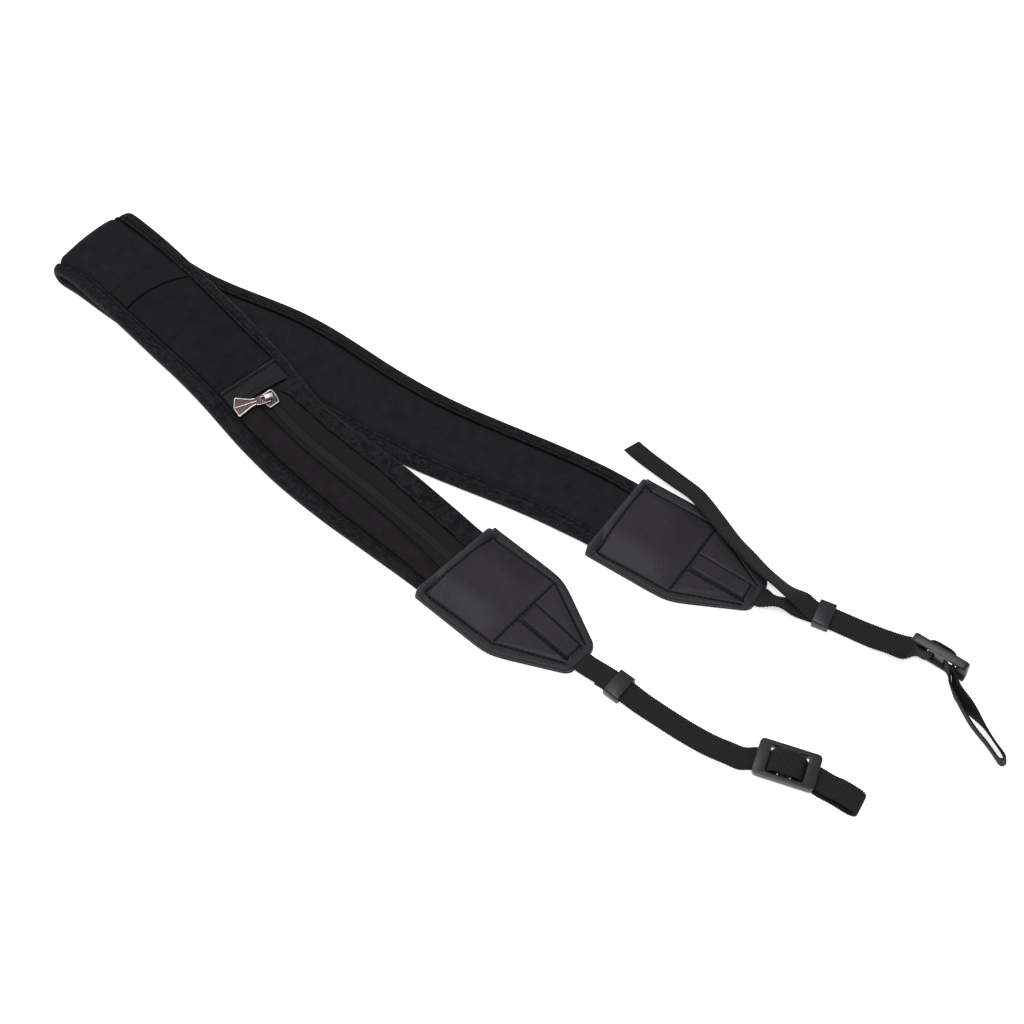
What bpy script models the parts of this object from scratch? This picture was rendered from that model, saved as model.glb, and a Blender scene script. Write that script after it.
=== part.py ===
"""Camera neck strap, folded once across its padded part and laid flat.

The padded band is one long piece.  Its near half lies on top with the pocket and the zip
facing up, then it turns back through a U fold, and its far half lies underneath with the
inner face up.  Each end is held in a leather end patch, and a narrow webbing runs from the
patch through a keeper and a three-bar buckle, makes the loop for the camera's lug and comes
back through the buckle and the keeper.

All lengths below are in millimetres, with X to the right, Y away from the viewer, Z up and
the table at Z = 0.  Places in the tables are measured from the middle of the outline.
"""
from math import cos, radians, sin

import bmesh
import bpy
import numpy as np
from mathutils import Matrix, Vector

MM = 0.001
OBJECT_NAME = "camera_neck_strap"

# ---------------------------------------------------------------- driving dimensions (mm)
OUTLINE_MIDDLE = (-9.83, 11.47)       # middle of the outline in the layout below
GAP = 0.3                          # clearance kept between neighbouring pieces
STATION_STEP = 9.0                 # spacing of the sections along the padded band

PAD_HALF_THICK = 2.6               # outer face to middle plane of the padded band
PAD_EDGE_HALF = 1.5                # the band is sewn down to this inside its binding
FOLD_CLEAR = 2.0                   # clear space inside the U fold
FOLD_ARC = np.pi * (PAD_HALF_THICK + FOLD_CLEAR / 2)
FOLD_HALF = 23.2
FOLD_CROWN = 1.2                   # the fold stands out this much in its middle
FOLD_BOW = 2.9                     # and its edges lie this far back from there,
FOLD_SKEW = 0.5                    # the right one more, the left one less
BOW_REACH = 20.0                   # run over which the bow dies away
MOUTH_SQUEEZE = 0.62               # share of the thickness left inside an end patch
SQUEEZE_LENGTH = 14.0              # run over which the band thins towards a patch
TONGUE_LENGTH = 13.0               # how far the band's core runs on past its mouth
TONGUE_HALF = 14.8
MOUTH_TUCK = 5.0                   # how far bindings, tapes and coil run on past the mouth

BINDING_WALL = 0.8
BINDING_LIP = 6.7                  # lip of a binding, from the band's edge
COVER_THICK = 0.8                  # pocket panel, ribbon and side panel
COVER_BASE = PAD_EDGE_HALF + GAP   # height at which the pocket's layers start
TAPE_THICK = 0.5
COIL_WIDTH = 4.4
COIL_HEIGHT = 1.0

PANEL_START = 128.4                # stations along the near half, from its mouth
PANEL_END = 194.6
RIBBON_START = 195.2
RIBBON_END = 206.8
BAND_START = 115.2
BAND_END = 128.0
ZIP_START = -MOUTH_TUCK
ZIP_END = 114.4

SLIDER_STATION = 110.6
SLIDER_ACROSS = -3.2
SLIDER_LENGTH = 8.0
SLIDER_WIDTH = 6.6
SLIDER_NARROW = 4.8
PLATE_BASE = 3.1                   # underside of the slider's plate over the middle plane
PLATE_THICK = 0.7
FLANGE_BASE = 2.6
BRIDGE_WIDTH = 2.0
BRIDGE_WALL = 0.9
BRIDGE_HOLE = (1.7, 1.7)           # clear length and height under the bridge
PULL_TURN = 69.0                   # the pull points this far round from the zip's line
PULL_DIP = 0.5                     # and slopes down this much towards the band
PULL_THICK = 0.9
PULL_LENGTH = 16.2
RING_HALF = 2.3
RING_WINDOW = (0.45, 4.0, 1.4)     # start, end and half width of the pull's window

PATCH_LENGTH = 70.0
PATCH_HALF = 22.9                  # half width at the mouth
PATCH_SHOULDER = 39.7              # where the sides start to run in to the tip
PATCH_TIP_HALF = 7.4
PATCH_CORNERS = (1.0, 1.9)         # corner radius at the mouth and at the tip
CROWN_RUN = 0.60                   # the top runs in this far from its rim for each 1 mm of rise
LEATHER = 1.3

WEBBING_WIDTH = 9.2
WEBBING_THICK = 1.0
LAYER_STEP = WEBBING_THICK + GAP   # one layer of webbing on another
RING_SPACING = 14.0                # widest spacing of the webbing's sections, on a straight run
RING_TURN = 18.0                   # widest bend between them, in degrees; a twist counts three times
NEAR_REACH = 9.7                   # a loop leaves its buckle's middle line at this distance from
FAR_REACH = 6.3                    # the centre bar
NEAR_SHIFT = -1.0                  # the near webbing runs this far off its buckle's middle line
FAR_SHIFT = 0.0

KEEPER_SIZE = (7.0, 12.2, 5.0)     # along, across and height
KEEPER_HOLE = (10.2, 3.1)
KEEPER_FLOOR = 0.9
BUCKLE_LENGTH = 24.0
BUCKLE_WIDTH = 15.0
BUCKLE_WINDOW = (14.6, 11.8)
BUCKLE_BASE = 1.5                  # underside of the side bars over the lower webbing face
BUCKLE_TOP = 5.0
END_BAR_BASE = 3.0
RELIEF_WIDTH = 11.8                # channel for the webbing under the end bars
CENTRE_BAR = (4.4, 3.0, 4.4)       # length along the strap, underside and top

# ---------------------------------------------------------------- tables
# Middle line of the padded band in plan, from the mouth of each patch to the fold.
ROUTE_COLUMNS = ("x", "y")
NEAR_ROUTE = ((-26.4, -25.6), (-65.9, 8.9), (-95.7, 36.2), (-117.5, 63.4), (-147.3, 97.6), (-193.2, 143.8))
FAR_ROUTE = ((42.0, -2.7), (1.2, 20.8), (-37.1, 40.5), (-70.8, 63.3), (-104.5, 86.9), (-146.6, 107.4),
             (-193.2, 143.8))
NEAR_MOUTH_HEADING = 136.8         # degrees, from the mouth towards the fold
FAR_MOUTH_HEADING = 144.8
FOLD_HEADING = 140.1

# Half width of the band at a distance from its mouth.
WIDTH_COLUMNS = ("station", "near half", "far half")
WIDTH_ROWS = ((0, 19.3, 18.9), (50, 20.5, 19.2), (92, 19.7, 19.9), (125, 21.0, 20.5),
              (165, 22.5, 21.8), (215, 23.2, 23.2), (300, 23.2, 23.2))

# Height of the underside at the left and right edge.  The near half lies on the far half
# by the fold, leans on it further on, and reaches the table before its patch.
REST_COLUMNS = ("station", "near left", "near right", "far left", "far right")
REST_ROWS = ((-20, 1.6, 1.6, 1.6, 1.6), (0, 1.6, 1.6, 1.6, 1.6), (12, 0.3, 1.4, 0.0, 0.0),
             (22, 0.0, 3.0, 0.0, 0.0), (38, 0.0, 5.6, 0.0, 0.0), (62, 0.0, 6.8, 0.0, 0.0),
             (84, 0.4, 7.4, 0.0, 0.0), (104, 1.8, 7.8, 0.0, 0.0), (125, 3.8, 7.2, 0.0, 0.0),
             (150, 5.5, 6.0, 0.0, 0.0), (200, 5.5, 5.5, 0.0, 0.0), (216, 6.2, 6.2, 0.0, 0.0),
             (239, 7.2, 7.2, 0.0, 0.0))

# Layout of the zip across the near half: edge of the side panel, middle of the coil and
# lip of the right-hand binding, which covers the zip's right tape.
ZIP_COLUMNS = ("station", "panel edge", "coil middle", "right lip")
ZIP_ROWS = ((-6, 6.2, -0.6, -8.3), (10, 5.2, -1.0, -8.7), (28, 4.0, -1.6, -9.6), (50, 3.0, -2.6, -11.6),
            (72, 2.6, -3.2, -12.1), (92, 2.4, -3.2, -12.3), (104, 2.6, -3.2, -11.2), (109, 2.7, -3.2, -10.2),
            (114.2, 2.8, -3.2, -7.9))

# Rows of the bare strap: its middle, its heading, and the tilt of its width out of level.
# The rows of a lay run midway between its two layers, the main one and the tail.
STRAP_COLUMNS = ("x", "y", "z", "heading", "tilt")
NEAR_LAY = ((39.4, -82.3, 2.4, -39.8, 0), (42.5, -84.9, 2.4, -39.8, 0), (45.6, -87.5, 2.4, -39.8, 0),
            (50.8, -91.7, 1.8, -39.4, -3), (56.2, -95.8, 1.7, -38.5, -6), (62.9, -100.9, 1.8, -36.5, -7),
            (70.6, -106.1, 1.8, -32.5, -7), (78.6, -110.8, 1.8, -28.0, -7), (85.0, -113.6, 1.7, -24.0, -6),
            (89.6, -115.0, 1.4, -21.0, -2))
NEAR_PATCH_RUN = ((32.6, -76.9, 2.1, -40.5, 0), )
NEAR_LOOP = ((118.2, -125.1, 2.6, -26.0, 0), (121.2, -128.0, 4.0, -28.0, 0), (125.2, -130.9, 5.6, -28.0, 0),
             (129.0, -133.7, 5.9, -29.0, 0), (131.7, -135.6, 5.0, -30.0, 0), (132.6, -136.2, 3.3, -30.0, 0),
             (131.7, -135.6, 1.5, -30.0, 0), (129.0, -133.7, 0.6, -29.0, 0), (125.2, -130.9, 0.5, -28.0, 0),
             (121.1, -128.3, 0.5, -26.0, 0), (117.4, -125.9, 0.5, -23.0, 0))
NEAR_TAIL = ((37.8, -81.0, 1.5, -39.6, 0), (35.6, -79.2, 1.1, -39.6, 0))

FAR_LAY = ((123.5, -50.8, 2.4, -24.7, 0), (126.8, -52.3, 2.4, -24.7, 0), (130.1, -53.9, 2.4, -25.5, 0),
           (134.8, -56.1, 2.0, -27.0, -4), (140.5, -59.7, 2.9, -29.0, -18), (147.0, -64.0, 4.3, -29.0, -38),
           (153.0, -67.3, 6.1, -29.0, -66))
FAR_PATCH_RUN = ((106.4, -45.3, 2.9, -15.0, 28), (115.0, -47.9, 2.2, -20.0, 12))
FAR_LOOP = ((174.4, -80.6, 7.4, -76.0, -103), (175.0, -83.4, 6.7, -74.0, -100),
            (176.6, -87.8, 5.4, -68.0, -95), (179.1, -92.7, 5.0, -64.0, -92), (181.7, -97.9, 4.9, -62.0, -98),
            (184.0, -102.6, 4.8, -62.0, -109), (186.4, -107.9, 4.7, -62.0, -115),
            (188.5, -112.6, 4.6, -62.0, -116), (189.2, -116.2, 4.6, -62.0, -116),
            (188.6, -118.1, 4.6, -62.0, -116), (187.2, -118.6, 4.6, -62.0, -116),
            (185.9, -116.7, 4.6, -62.0, -115), (184.2, -112.2, 4.6, -62.0, -114),
            (181.8, -106.9, 4.6, -62.0, -114), (179.1, -101.3, 4.7, -62.0, -112),
            (176.5, -95.6, 4.8, -66.0, -109), (174.4, -90.0, 5.0, -72.0, -109), (173.1, -85.0, 5.8, -78.0, -108))
FAR_TAIL = ((118.9, -46.8, 3.9, -33.7, 8), (113.6, -43.1, 4.6, -37.9, 28), (107.8, -38.0, 5.1, -43.7, 36),
            (102.3, -32.2, 5.3, -50.3, 34), (97.0, -25.0, 5.4, -54.5, 32), (92.3, -18.3, 5.3, -58.6, 31),
            (87.3, -9.1, 5.0, -61.0, 28), (82.8, -1.2, 4.4, -59.2, 24), (78.1, 6.4, 3.6, -52.2, 20),
            (72.1, 12.7, 2.9, -45.4, 17), (64.8, 19.9, 2.3, -44.7, 15), (57.2, 27.4, 1.9, -46.1, 14),
            (51.7, 33.5, 1.7, -47.8, 14))

# Path of the webbing through a buckle, from its outer end bar over the centre bar.
THREAD_COLUMNS = ("along", "height")
MAIN_THREAD = ((-12.6, 1.8), (-9.6, 1.8), (-7.6, 1.95), (-6.2, 2.6), (-5.2, 3.9), (-4.4, 5.3), (-3.3, 6.35),
               (-1.8, 6.75), (0.0, 6.8))
TAIL_THREAD = ((-12.6, 0.5), (-8.0, 0.5), (-5.4, 0.7), (-4.0, 1.5), (-3.2, 3.0), (-3.0, 4.4), (-2.0, 5.3),
               (0.0, 5.4))

# Leather top of a patch: rise of its underside and width of its flat rim along the patch.
PATCH_COLUMNS = ("along", "rise", "rim")
PATCH_ROWS = ((0.0, 3.5, 0.2), (3.0, 3.6, 0.8), (6.0, 3.7, 2.4), (9.0, 3.7, 3.8), (15.0, 3.7, 4.2),
              (24.0, 3.2, 4.2), (33.0, 2.4, 4.2), (38.5, 1.7, 4.0), (43.0, 1.5, 3.4), (52.0, 1.5, 2.2),
              (60.0, 1.5, 1.2), (68.1, 1.4, 0.5), (69.3, 1.4, 0.2), (70.0, 1.4, 0.0))

# Place of each patch, keeper and buckle.
PLACE_COLUMNS = ("x", "y", "heading")
NEAR_PATCH = (-24.05, -26.3, -42.1)
FAR_PATCH = (43.8, -3.4, -34.5)
NEAR_KEEPER = (42.5, -84.9, -39.8)
FAR_KEEPER = (126.8, -52.3, -24.7)
NEAR_BUCKLE = (106.0, -119.5, 0.0, -19.8, 0.0)
FAR_BUCKLE = (167.8, -77.1, 7.3, -36.7, -102.7)

# Finish of each piece: colour, roughness and metallic value.
FINISH_COLUMNS = ("red", "green", "blue", "roughness", "metallic")
FINISHES = {
    "pad_fabric": (0.020, 0.019, 0.023, 0.90, 0.0),
    "binding_fabric": (0.017, 0.017, 0.019, 0.85, 0.0),
    "panel_fabric": (0.021, 0.020, 0.024, 0.90, 0.0),
    "ribbon_fabric": (0.024, 0.023, 0.027, 0.80, 0.0),
    "zip_fabric": (0.024, 0.023, 0.026, 0.80, 0.0),
    "zip_nylon": (0.028, 0.027, 0.030, 0.55, 0.0),
    "band_leather": (0.045, 0.044, 0.050, 0.55, 0.0),
    "patch_leather": (0.050, 0.050, 0.058, 0.50, 0.0),
    "webbing_fabric": (0.020, 0.019, 0.021, 0.85, 0.0),
    "moulded_plastic": (0.045, 0.043, 0.048, 0.45, 0.0),
    "antique_nickel": (0.42, 0.40, 0.38, 0.32, 1.0),
}


# ---------------------------------------------------------------- helpers
def clear_scene():
    """Remove every object that the file holds."""
    for item in list(bpy.data.objects):
        bpy.data.objects.remove(item, do_unlink=True)


def make_collection(name, parent):
    """New collection under a parent collection."""
    collection = bpy.data.collections.new(name)
    parent.children.link(collection)
    return collection


def make_material(name, finish):
    """Principled material from one row of the finish table."""
    red, green, blue, roughness, metallic = finish
    material = bpy.data.materials.new(name)
    material.use_nodes = True
    shader = material.node_tree.nodes["Principled BSDF"]
    shader.inputs["Base Color"].default_value = (red, green, blue, 1.0)
    shader.inputs["Roughness"].default_value = roughness
    shader.inputs["Metallic"].default_value = metallic
    material.diffuse_color = (red, green, blue, 1.0)
    return material


def spline(stations, values, first=None, last=None):
    """Cubic spline through rows of values, with given end slopes or free ends."""
    t = np.asarray(stations, float)
    v = np.asarray(values, float)
    step = np.diff(t)
    chord = np.diff(v, axis=0) / step[:, None]
    count = len(t)
    matrix = np.zeros((count, count))
    right = np.zeros_like(v)
    for i in range(1, count - 1):
        matrix[i, i - 1:i + 2] = step[i], 2 * (step[i - 1] + step[i]), step[i - 1]
        right[i] = 3 * (step[i] * chord[i - 1] + step[i - 1] * chord[i])
    matrix[0, :2] = (2, 1) if first is None else (1, 0)
    right[0] = 3 * chord[0] if first is None else first
    matrix[-1, -2:] = (1, 2) if last is None else (0, 1)
    right[-1] = 3 * chord[-1] if last is None else last
    slope = np.linalg.solve(matrix, right)

    def evaluate(at):
        at = np.atleast_1d(np.asarray(at, float))
        i = np.clip(np.searchsorted(t, at, side="right") - 1, 0, count - 2)
        h = step[i][:, None]
        u = ((at - t[i]) / step[i])[:, None]
        return ((2 * u**3 - 3 * u**2 + 1) * v[i] + (u**3 - 2 * u**2 + u) * h * slope[i]
                + (3 * u**2 - 2 * u**3) * v[i + 1] + (u**3 - u**2) * h * slope[i + 1])

    return evaluate


def column(rows, index):
    """One column of a table as an array."""
    return np.array([row[index] for row in rows], float)


def compass(degrees):
    """Level unit vector at an angle from +X."""
    return np.array([cos(radians(degrees)), sin(radians(degrees)), 0.0])


def to_world(points):
    """Layout millimetres to metres from the middle of the outline."""
    return (np.asarray(points, float) - (*OUTLINE_MIDDLE, 0.0)) * MM


def add_object(name, mesh, material):
    """Link a mesh as a named object of the strap."""
    item = bpy.data.objects.new(name, mesh)
    mesh.materials.append(MATERIALS[material])
    STRAP.objects.link(item)
    return item


def loft(name, sections, material, smooth=True):
    """Closed skin through rings of points, with a flat face over the first and the last ring."""
    rings = to_world(sections)
    mesh = bpy.data.meshes.new(name)
    skin = bmesh.new()
    verts = [[skin.verts.new(point) for point in ring] for ring in rings]
    for ring, after in zip(verts, verts[1:]):
        for k in range(len(ring)):
            skin.faces.new((ring[k - 1], ring[k], after[k], after[k - 1]))
    skin.faces.new(verts[0])
    skin.faces.new(verts[-1])
    bmesh.ops.recalc_face_normals(skin, faces=skin.faces)
    skin.to_mesh(mesh)
    skin.free()
    if smooth:
        mesh.shade_smooth()
        mesh.set_sharp_from_angle(angle=radians(40))
    return add_object(name, mesh, material)


def plate_from_outline(name, loops, thickness, material):
    """Flat plate from closed outlines in XY, the first outside and the others as holes."""
    curve = bpy.data.curves.new(name, "CURVE")
    curve.dimensions = "2D"
    curve.fill_mode = "BOTH"
    curve.extrude = thickness * MM / 2
    for loop in loops:
        line = curve.splines.new("POLY")
        line.points.add(len(loop) - 1)
        for point, (x, y) in zip(line.points, loop):
            point.co = (x * MM, y * MM, 0.0, 1.0)
        line.use_cyclic_u = True
    holder = bpy.data.objects.new(name, curve)
    STRAP.objects.link(holder)
    evaluated = holder.evaluated_get(bpy.context.evaluated_depsgraph_get())
    mesh = bpy.data.meshes.new_from_object(evaluated)
    bpy.data.objects.remove(holder, do_unlink=True)
    skin = bmesh.new()
    skin.from_mesh(mesh)
    bmesh.ops.remove_doubles(skin, verts=skin.verts, dist=0.00001)
    bmesh.ops.recalc_face_normals(skin, faces=skin.faces)
    skin.to_mesh(mesh)
    skin.free()
    mesh.materials.clear()
    mesh.name = name
    return add_object(name, mesh, material)


def rounded_box(half_x, half_y, radius, steps=3, centre=(0.0, 0.0)):
    """Outline of a rectangle with round corners, as a list of points."""
    points = []
    for corner, (side_x, side_y) in enumerate(((1, 1), (-1, 1), (-1, -1), (1, -1))):
        for step in range(steps + 1):
            angle = radians(90 * corner + 90 * step / steps)
            points.append((centre[0] + side_x * (half_x - radius) + radius * cos(angle),
                           centre[1] + side_y * (half_y - radius) + radius * sin(angle)))
    return points


def tool_box(name, size, centre):
    """Box used to cut or join, hidden from view."""
    bpy.ops.mesh.primitive_cube_add(size=1.0)
    box = bpy.context.object
    box.name = name
    box.data.transform(Matrix.Translation(Vector(centre) * MM) @ Matrix.Diagonal((*(Vector(size) * MM), 1.0)))
    for collection in list(box.users_collection):
        collection.objects.unlink(box)
    TOOLS.objects.link(box)
    box.hide_render = True
    box.display_type = "WIRE"
    return box


def combine(target, tool, operation):
    """Join a tool to a piece, or cut it away, and keep the result as the piece's mesh."""
    step = target.modifiers.new(operation.lower(), "BOOLEAN")
    step.operation = operation
    step.solver = "EXACT"
    step.object = tool
    evaluated = target.evaluated_get(bpy.context.evaluated_depsgraph_get())
    mesh = bpy.data.meshes.new_from_object(evaluated)
    target.modifiers.clear()
    mesh.name = target.name
    target.data = mesh
    bpy.data.objects.remove(tool, do_unlink=True)


# ---------------------------------------------------------------- the padded band in space
def plan_line(rows, mouth_heading):
    """Dense samples of one half in plan: distance from the mouth, place and direction."""
    points = np.array(rows, float)
    chords = np.concatenate([[0], np.cumsum(np.hypot(*np.diff(points, axis=0).T))])
    line = spline(chords, points, compass(mouth_heading)[:2], compass(FOLD_HEADING)[:2])
    at = np.linspace(0, chords[-1], 400)
    place = line(at)
    place = np.vstack([place[0] - compass(mouth_heading)[:2] * 20, place])
    station = np.concatenate([[0], np.cumsum(np.hypot(*np.diff(place, axis=0).T))]) - 20
    direction = np.gradient(place, station, axis=0)
    direction /= np.linalg.norm(direction, axis=1)[:, None]
    return station, place, direction


def fold_bow(distance, across):
    """The fold is bowed: its edges lie back from its middle, less so further from the fold."""
    near = min(max(1 - distance / BOW_REACH, 0.0), 1.0)
    edge = across / FOLD_HALF
    bow = FOLD_CROWN - (FOLD_BOW - FOLD_SKEW * edge) * edge**2
    return compass(FOLD_HEADING) * near * near * (3 - 2 * near) * bow


class Band:
    """Turns a station along one half, a distance across and a height into a place.

    Stations run from the mouth of the patch to the fold.  Across is positive towards the
    edge on the viewer's left, and height is positive towards the pocket's side.
    """

    def __init__(self, rows, mouth_heading, half):
        self.station, self.place, self.direction = plan_line(rows, mouth_heading)
        self.length = self.station[-1]
        self.far = half == "far"
        self.width_column = 2 if self.far else 1
        self.rest_column = 3 if self.far else 1

    def half_width(self, s):
        return float(np.interp(s, column(WIDTH_ROWS, 0), column(WIDTH_ROWS, self.width_column)))

    def squeeze(self, s):
        share = min(max(s / SQUEEZE_LENGTH, 0.0), 1.0)
        return MOUTH_SQUEEZE + (1 - MOUTH_SQUEEZE) * share * share * (3 - 2 * share)

    def frame(self, s):
        """Middle, left direction and up direction of the band at a station."""
        x, y = (np.interp(s, self.station, self.place[:, k]) for k in (0, 1))
        along = np.array([np.interp(s, self.station, self.direction[:, k]) for k in (0, 1)])
        along /= np.linalg.norm(along)
        left_side = np.array([-along[1], along[0], 0.0])
        left, right = (np.interp(s, column(REST_ROWS, 0), column(REST_ROWS, self.rest_column + k)) for k in (0, 1))
        roll = np.arcsin((left - right) / (2 * self.half_width(s)))
        across = left_side * np.cos(roll) + np.array([0, 0, np.sin(roll)])
        up = np.array([0, 0, np.cos(roll)]) - left_side * np.sin(roll)
        middle = np.array([x, y, (left + right) / 2]) + up * PAD_HALF_THICK * self.squeeze(s)
        return middle, across, up

    def section(self, s, profile):
        """Ring of points at a station from (across, height) pairs."""
        middle, across, up = self.frame(s)
        side = -1.0 if self.far else 1.0
        squeeze = self.squeeze(s)
        from_fold = self.length - s + FOLD_ARC / 2
        return [middle + across * u + up * (side * h * squeeze) + fold_bow(from_fold, u) for u, h in profile]

    def point(self, s, u, h):
        return self.section(s, ((u, h), ))[0]


def fold_sections(band, profile):
    """Rings round the U fold, which joins the near half on top to the far half below."""
    forward = np.append(band.direction[-1], 0.0)
    left_side = np.array([-forward[1], forward[0], 0.0])
    radius = PAD_HALF_THICK + FOLD_CLEAR / 2
    centre = np.append(band.place[-1], 2 * PAD_HALF_THICK + FOLD_CLEAR / 2)
    rings = []
    for turn in np.linspace(0, np.pi, 9)[1:-1]:
        outward = forward * np.sin(turn) + np.array([0, 0, np.cos(turn)])
        from_middle = abs(turn / np.pi - 0.5) * FOLD_ARC
        rings.append([centre + outward * (radius + h) + left_side * u + fold_bow(from_middle, u)
                      for u, h in profile])
    return rings


def stations(start, end):
    """Stations from start to end: both of them, and what lies between on one common grid."""
    low, high = sorted((start, end))
    grid = np.arange(np.ceil((low + 1) / STATION_STEP), np.floor((high - 1) / STATION_STEP) + 1) * STATION_STEP
    line = np.concatenate([[low], grid, [high]])
    return line if start < end else line[::-1]


def right_lip(s):
    """Width of the right-hand binding's upper lip, wider where it covers the zip's tape."""
    if s > ZIP_END:
        return BINDING_LIP
    return NEAR.half_width(s) + float(np.interp(s, column(ZIP_ROWS, 0), column(ZIP_ROWS, 3)))


def core_profile(band, s):
    """Section of the padded core: full in the middle, sewn down inside the bindings."""
    width = band.half_width(s)
    pocket = not band.far and s < RIBBON_END + 1
    top = PAD_EDGE_HALF if pocket else PAD_HALF_THICK
    edge = width - BINDING_WALL - 0.9 if s > -MOUTH_TUCK + 0.5 else TONGUE_HALF
    lip = width - BINDING_LIP
    lower = PAD_HALF_THICK
    return ((lip - 0.9, top), (lip - GAP, PAD_EDGE_HALF), (edge, PAD_EDGE_HALF), (edge, -PAD_EDGE_HALF),
            (lip - GAP, -PAD_EDGE_HALF), (lip - 0.9, -lower), (0.9 - lip, -lower), (GAP - lip, -PAD_EDGE_HALF),
            (-edge, -PAD_EDGE_HALF), (-edge, PAD_EDGE_HALF), (GAP - lip, PAD_EDGE_HALF), (0.9 - lip, top))


def binding_profile(width, side, upper_lip):
    """C-shaped section of an edge binding round the band's edge."""
    outer = PAD_HALF_THICK
    inner = outer - BINDING_WALL
    shape = ((width - upper_lip, outer), (width - 2.0, outer), (width - 0.6, 1.9), (width, 0.7), (width, -0.7),
             (width - 0.6, -1.9), (width - 2.0, -outer), (width - BINDING_LIP, -outer),
             (width - BINDING_LIP, -inner), (width - 1.5, -inner), (width - BINDING_WALL, -0.8),
             (width - BINDING_WALL, 0.8), (width - 1.5, inner), (width - upper_lip, inner))
    return tuple((side * u, h) for u, h in shape)


def whole_band(profile_at, start):
    """Rings from the near mouth over the fold to the far mouth."""
    near = (*stations(start, ZIP_END), *stations(ZIP_END + 0.6, RIBBON_END + 0.8),
            *stations(RIBBON_END + 1.4, NEAR.length))
    rings = [NEAR.section(s, profile_at(NEAR, s)) for s in near]
    rings += fold_sections(NEAR, profile_at(NEAR, NEAR.length))
    rings += [FAR.section(s, profile_at(FAR, s)) for s in stations(FAR.length, start)]
    return rings


# ---------------------------------------------------------------- soft pieces of the band
def build_core():
    loft("neck_pad", whole_band(core_profile, -TONGUE_LENGTH), "pad_fabric")


def build_bindings():
    for name, side in (("binding_left", 1), ("binding_right", -1)):

        def profile_at(band, s, side=side):
            upper = right_lip(s) if side < 0 and not band.far else BINDING_LIP
            return binding_profile(band.half_width(s), side, upper)

        loft(name, whole_band(profile_at, -MOUTH_TUCK), "binding_fabric")


def strip(name, along, edges_at, base, thickness, material):
    """Flat layer on the near half between two edges that vary along it."""
    rings = []
    for s in along:
        left, right = edges_at(s)
        rings.append(NEAR.section(s, ((left, base), (left, base + thickness), (right, base + thickness),
                                      (right, base))))
    return loft(name, rings, material, smooth=False)


def lips(s):
    """Inner ends of the two binding lips, less the clearance."""
    inside = NEAR.half_width(s) - BINDING_LIP - GAP
    return inside, -inside


def zip_column(s, index):
    return float(np.interp(s, column(ZIP_ROWS, 0), column(ZIP_ROWS, index)))


def build_pocket():
    strip("pocket_panel", stations(PANEL_START, PANEL_END), lips, COVER_BASE, COVER_THICK, "panel_fabric")
    strip("pocket_ribbon", stations(RIBBON_START, RIBBON_END), lips, COVER_BASE, COVER_THICK + 0.2,
          "ribbon_fabric")
    along = stations(ZIP_START, ZIP_END)
    strip("side_panel", along, lambda s: (lips(s)[0], zip_column(s, 1)), COVER_BASE, COVER_THICK, "panel_fabric")
    half = COIL_WIDTH / 2 + GAP
    strip("zip_tape_left", along, lambda s: (zip_column(s, 1) - GAP, zip_column(s, 2) + half), COVER_BASE,
          TAPE_THICK, "zip_fabric")
    strip("zip_tape_right", along, lambda s: (zip_column(s, 2) - half, zip_column(s, 3) + GAP), COVER_BASE,
          TAPE_THICK, "zip_fabric")


def build_coil():
    half = COIL_WIDTH / 2
    rings = []
    for s in stations(ZIP_START, ZIP_END):
        middle = zip_column(s, 2)
        shape = ((half, 0.0), (half, 0.5), (half - 0.7, COIL_HEIGHT), (0.7 - half, COIL_HEIGHT), (-half, 0.5),
                 (-half, 0.0))
        rings.append(NEAR.section(s, [(middle + u, COVER_BASE + h) for u, h in shape]))
    loft("zip_coil", rings, "zip_nylon")


def build_band_tab():
    """Smooth band across the head of the zip, piped along both of its long edges."""
    rings = []
    for share in np.linspace(0, 1, 9):
        bow = 1 - (2 * share - 1)**2
        start = BAND_START + 1.6 * bow
        end = BAND_END
        left, right = lips(start)
        u = left + (right - left) * share
        shape = ((start, 0.0), (start, 1.2), (start + 0.5, 1.5), (start + 1.3, 1.5), (start + 1.7, 1.2),
                 (end - 1.7, 1.2), (end - 1.3, 1.5), (end - 0.5, 1.5), (end, 1.2), (end, 0.0))
        rings.append([NEAR.point(s, u, COVER_BASE + h) for s, h in shape])
    loft("zip_head_band", rings, "band_leather")


# ---------------------------------------------------------------- slider and pull
def slider_matrix():
    """Frame on the zip at the slider: X along the zip to the fold, Z off the band's face."""
    middle, across, up = NEAR.frame(SLIDER_STATION)
    origin = to_world([middle + across * SLIDER_ACROSS])[0]
    along = np.cross(across, up)
    columns = [Vector(axis) for axis in (-along if along @ compass(FOLD_HEADING) < 0 else along, across, up)]
    matrix = Matrix(columns).transposed().to_4x4()
    matrix.translation = Vector(origin)
    return matrix


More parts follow.
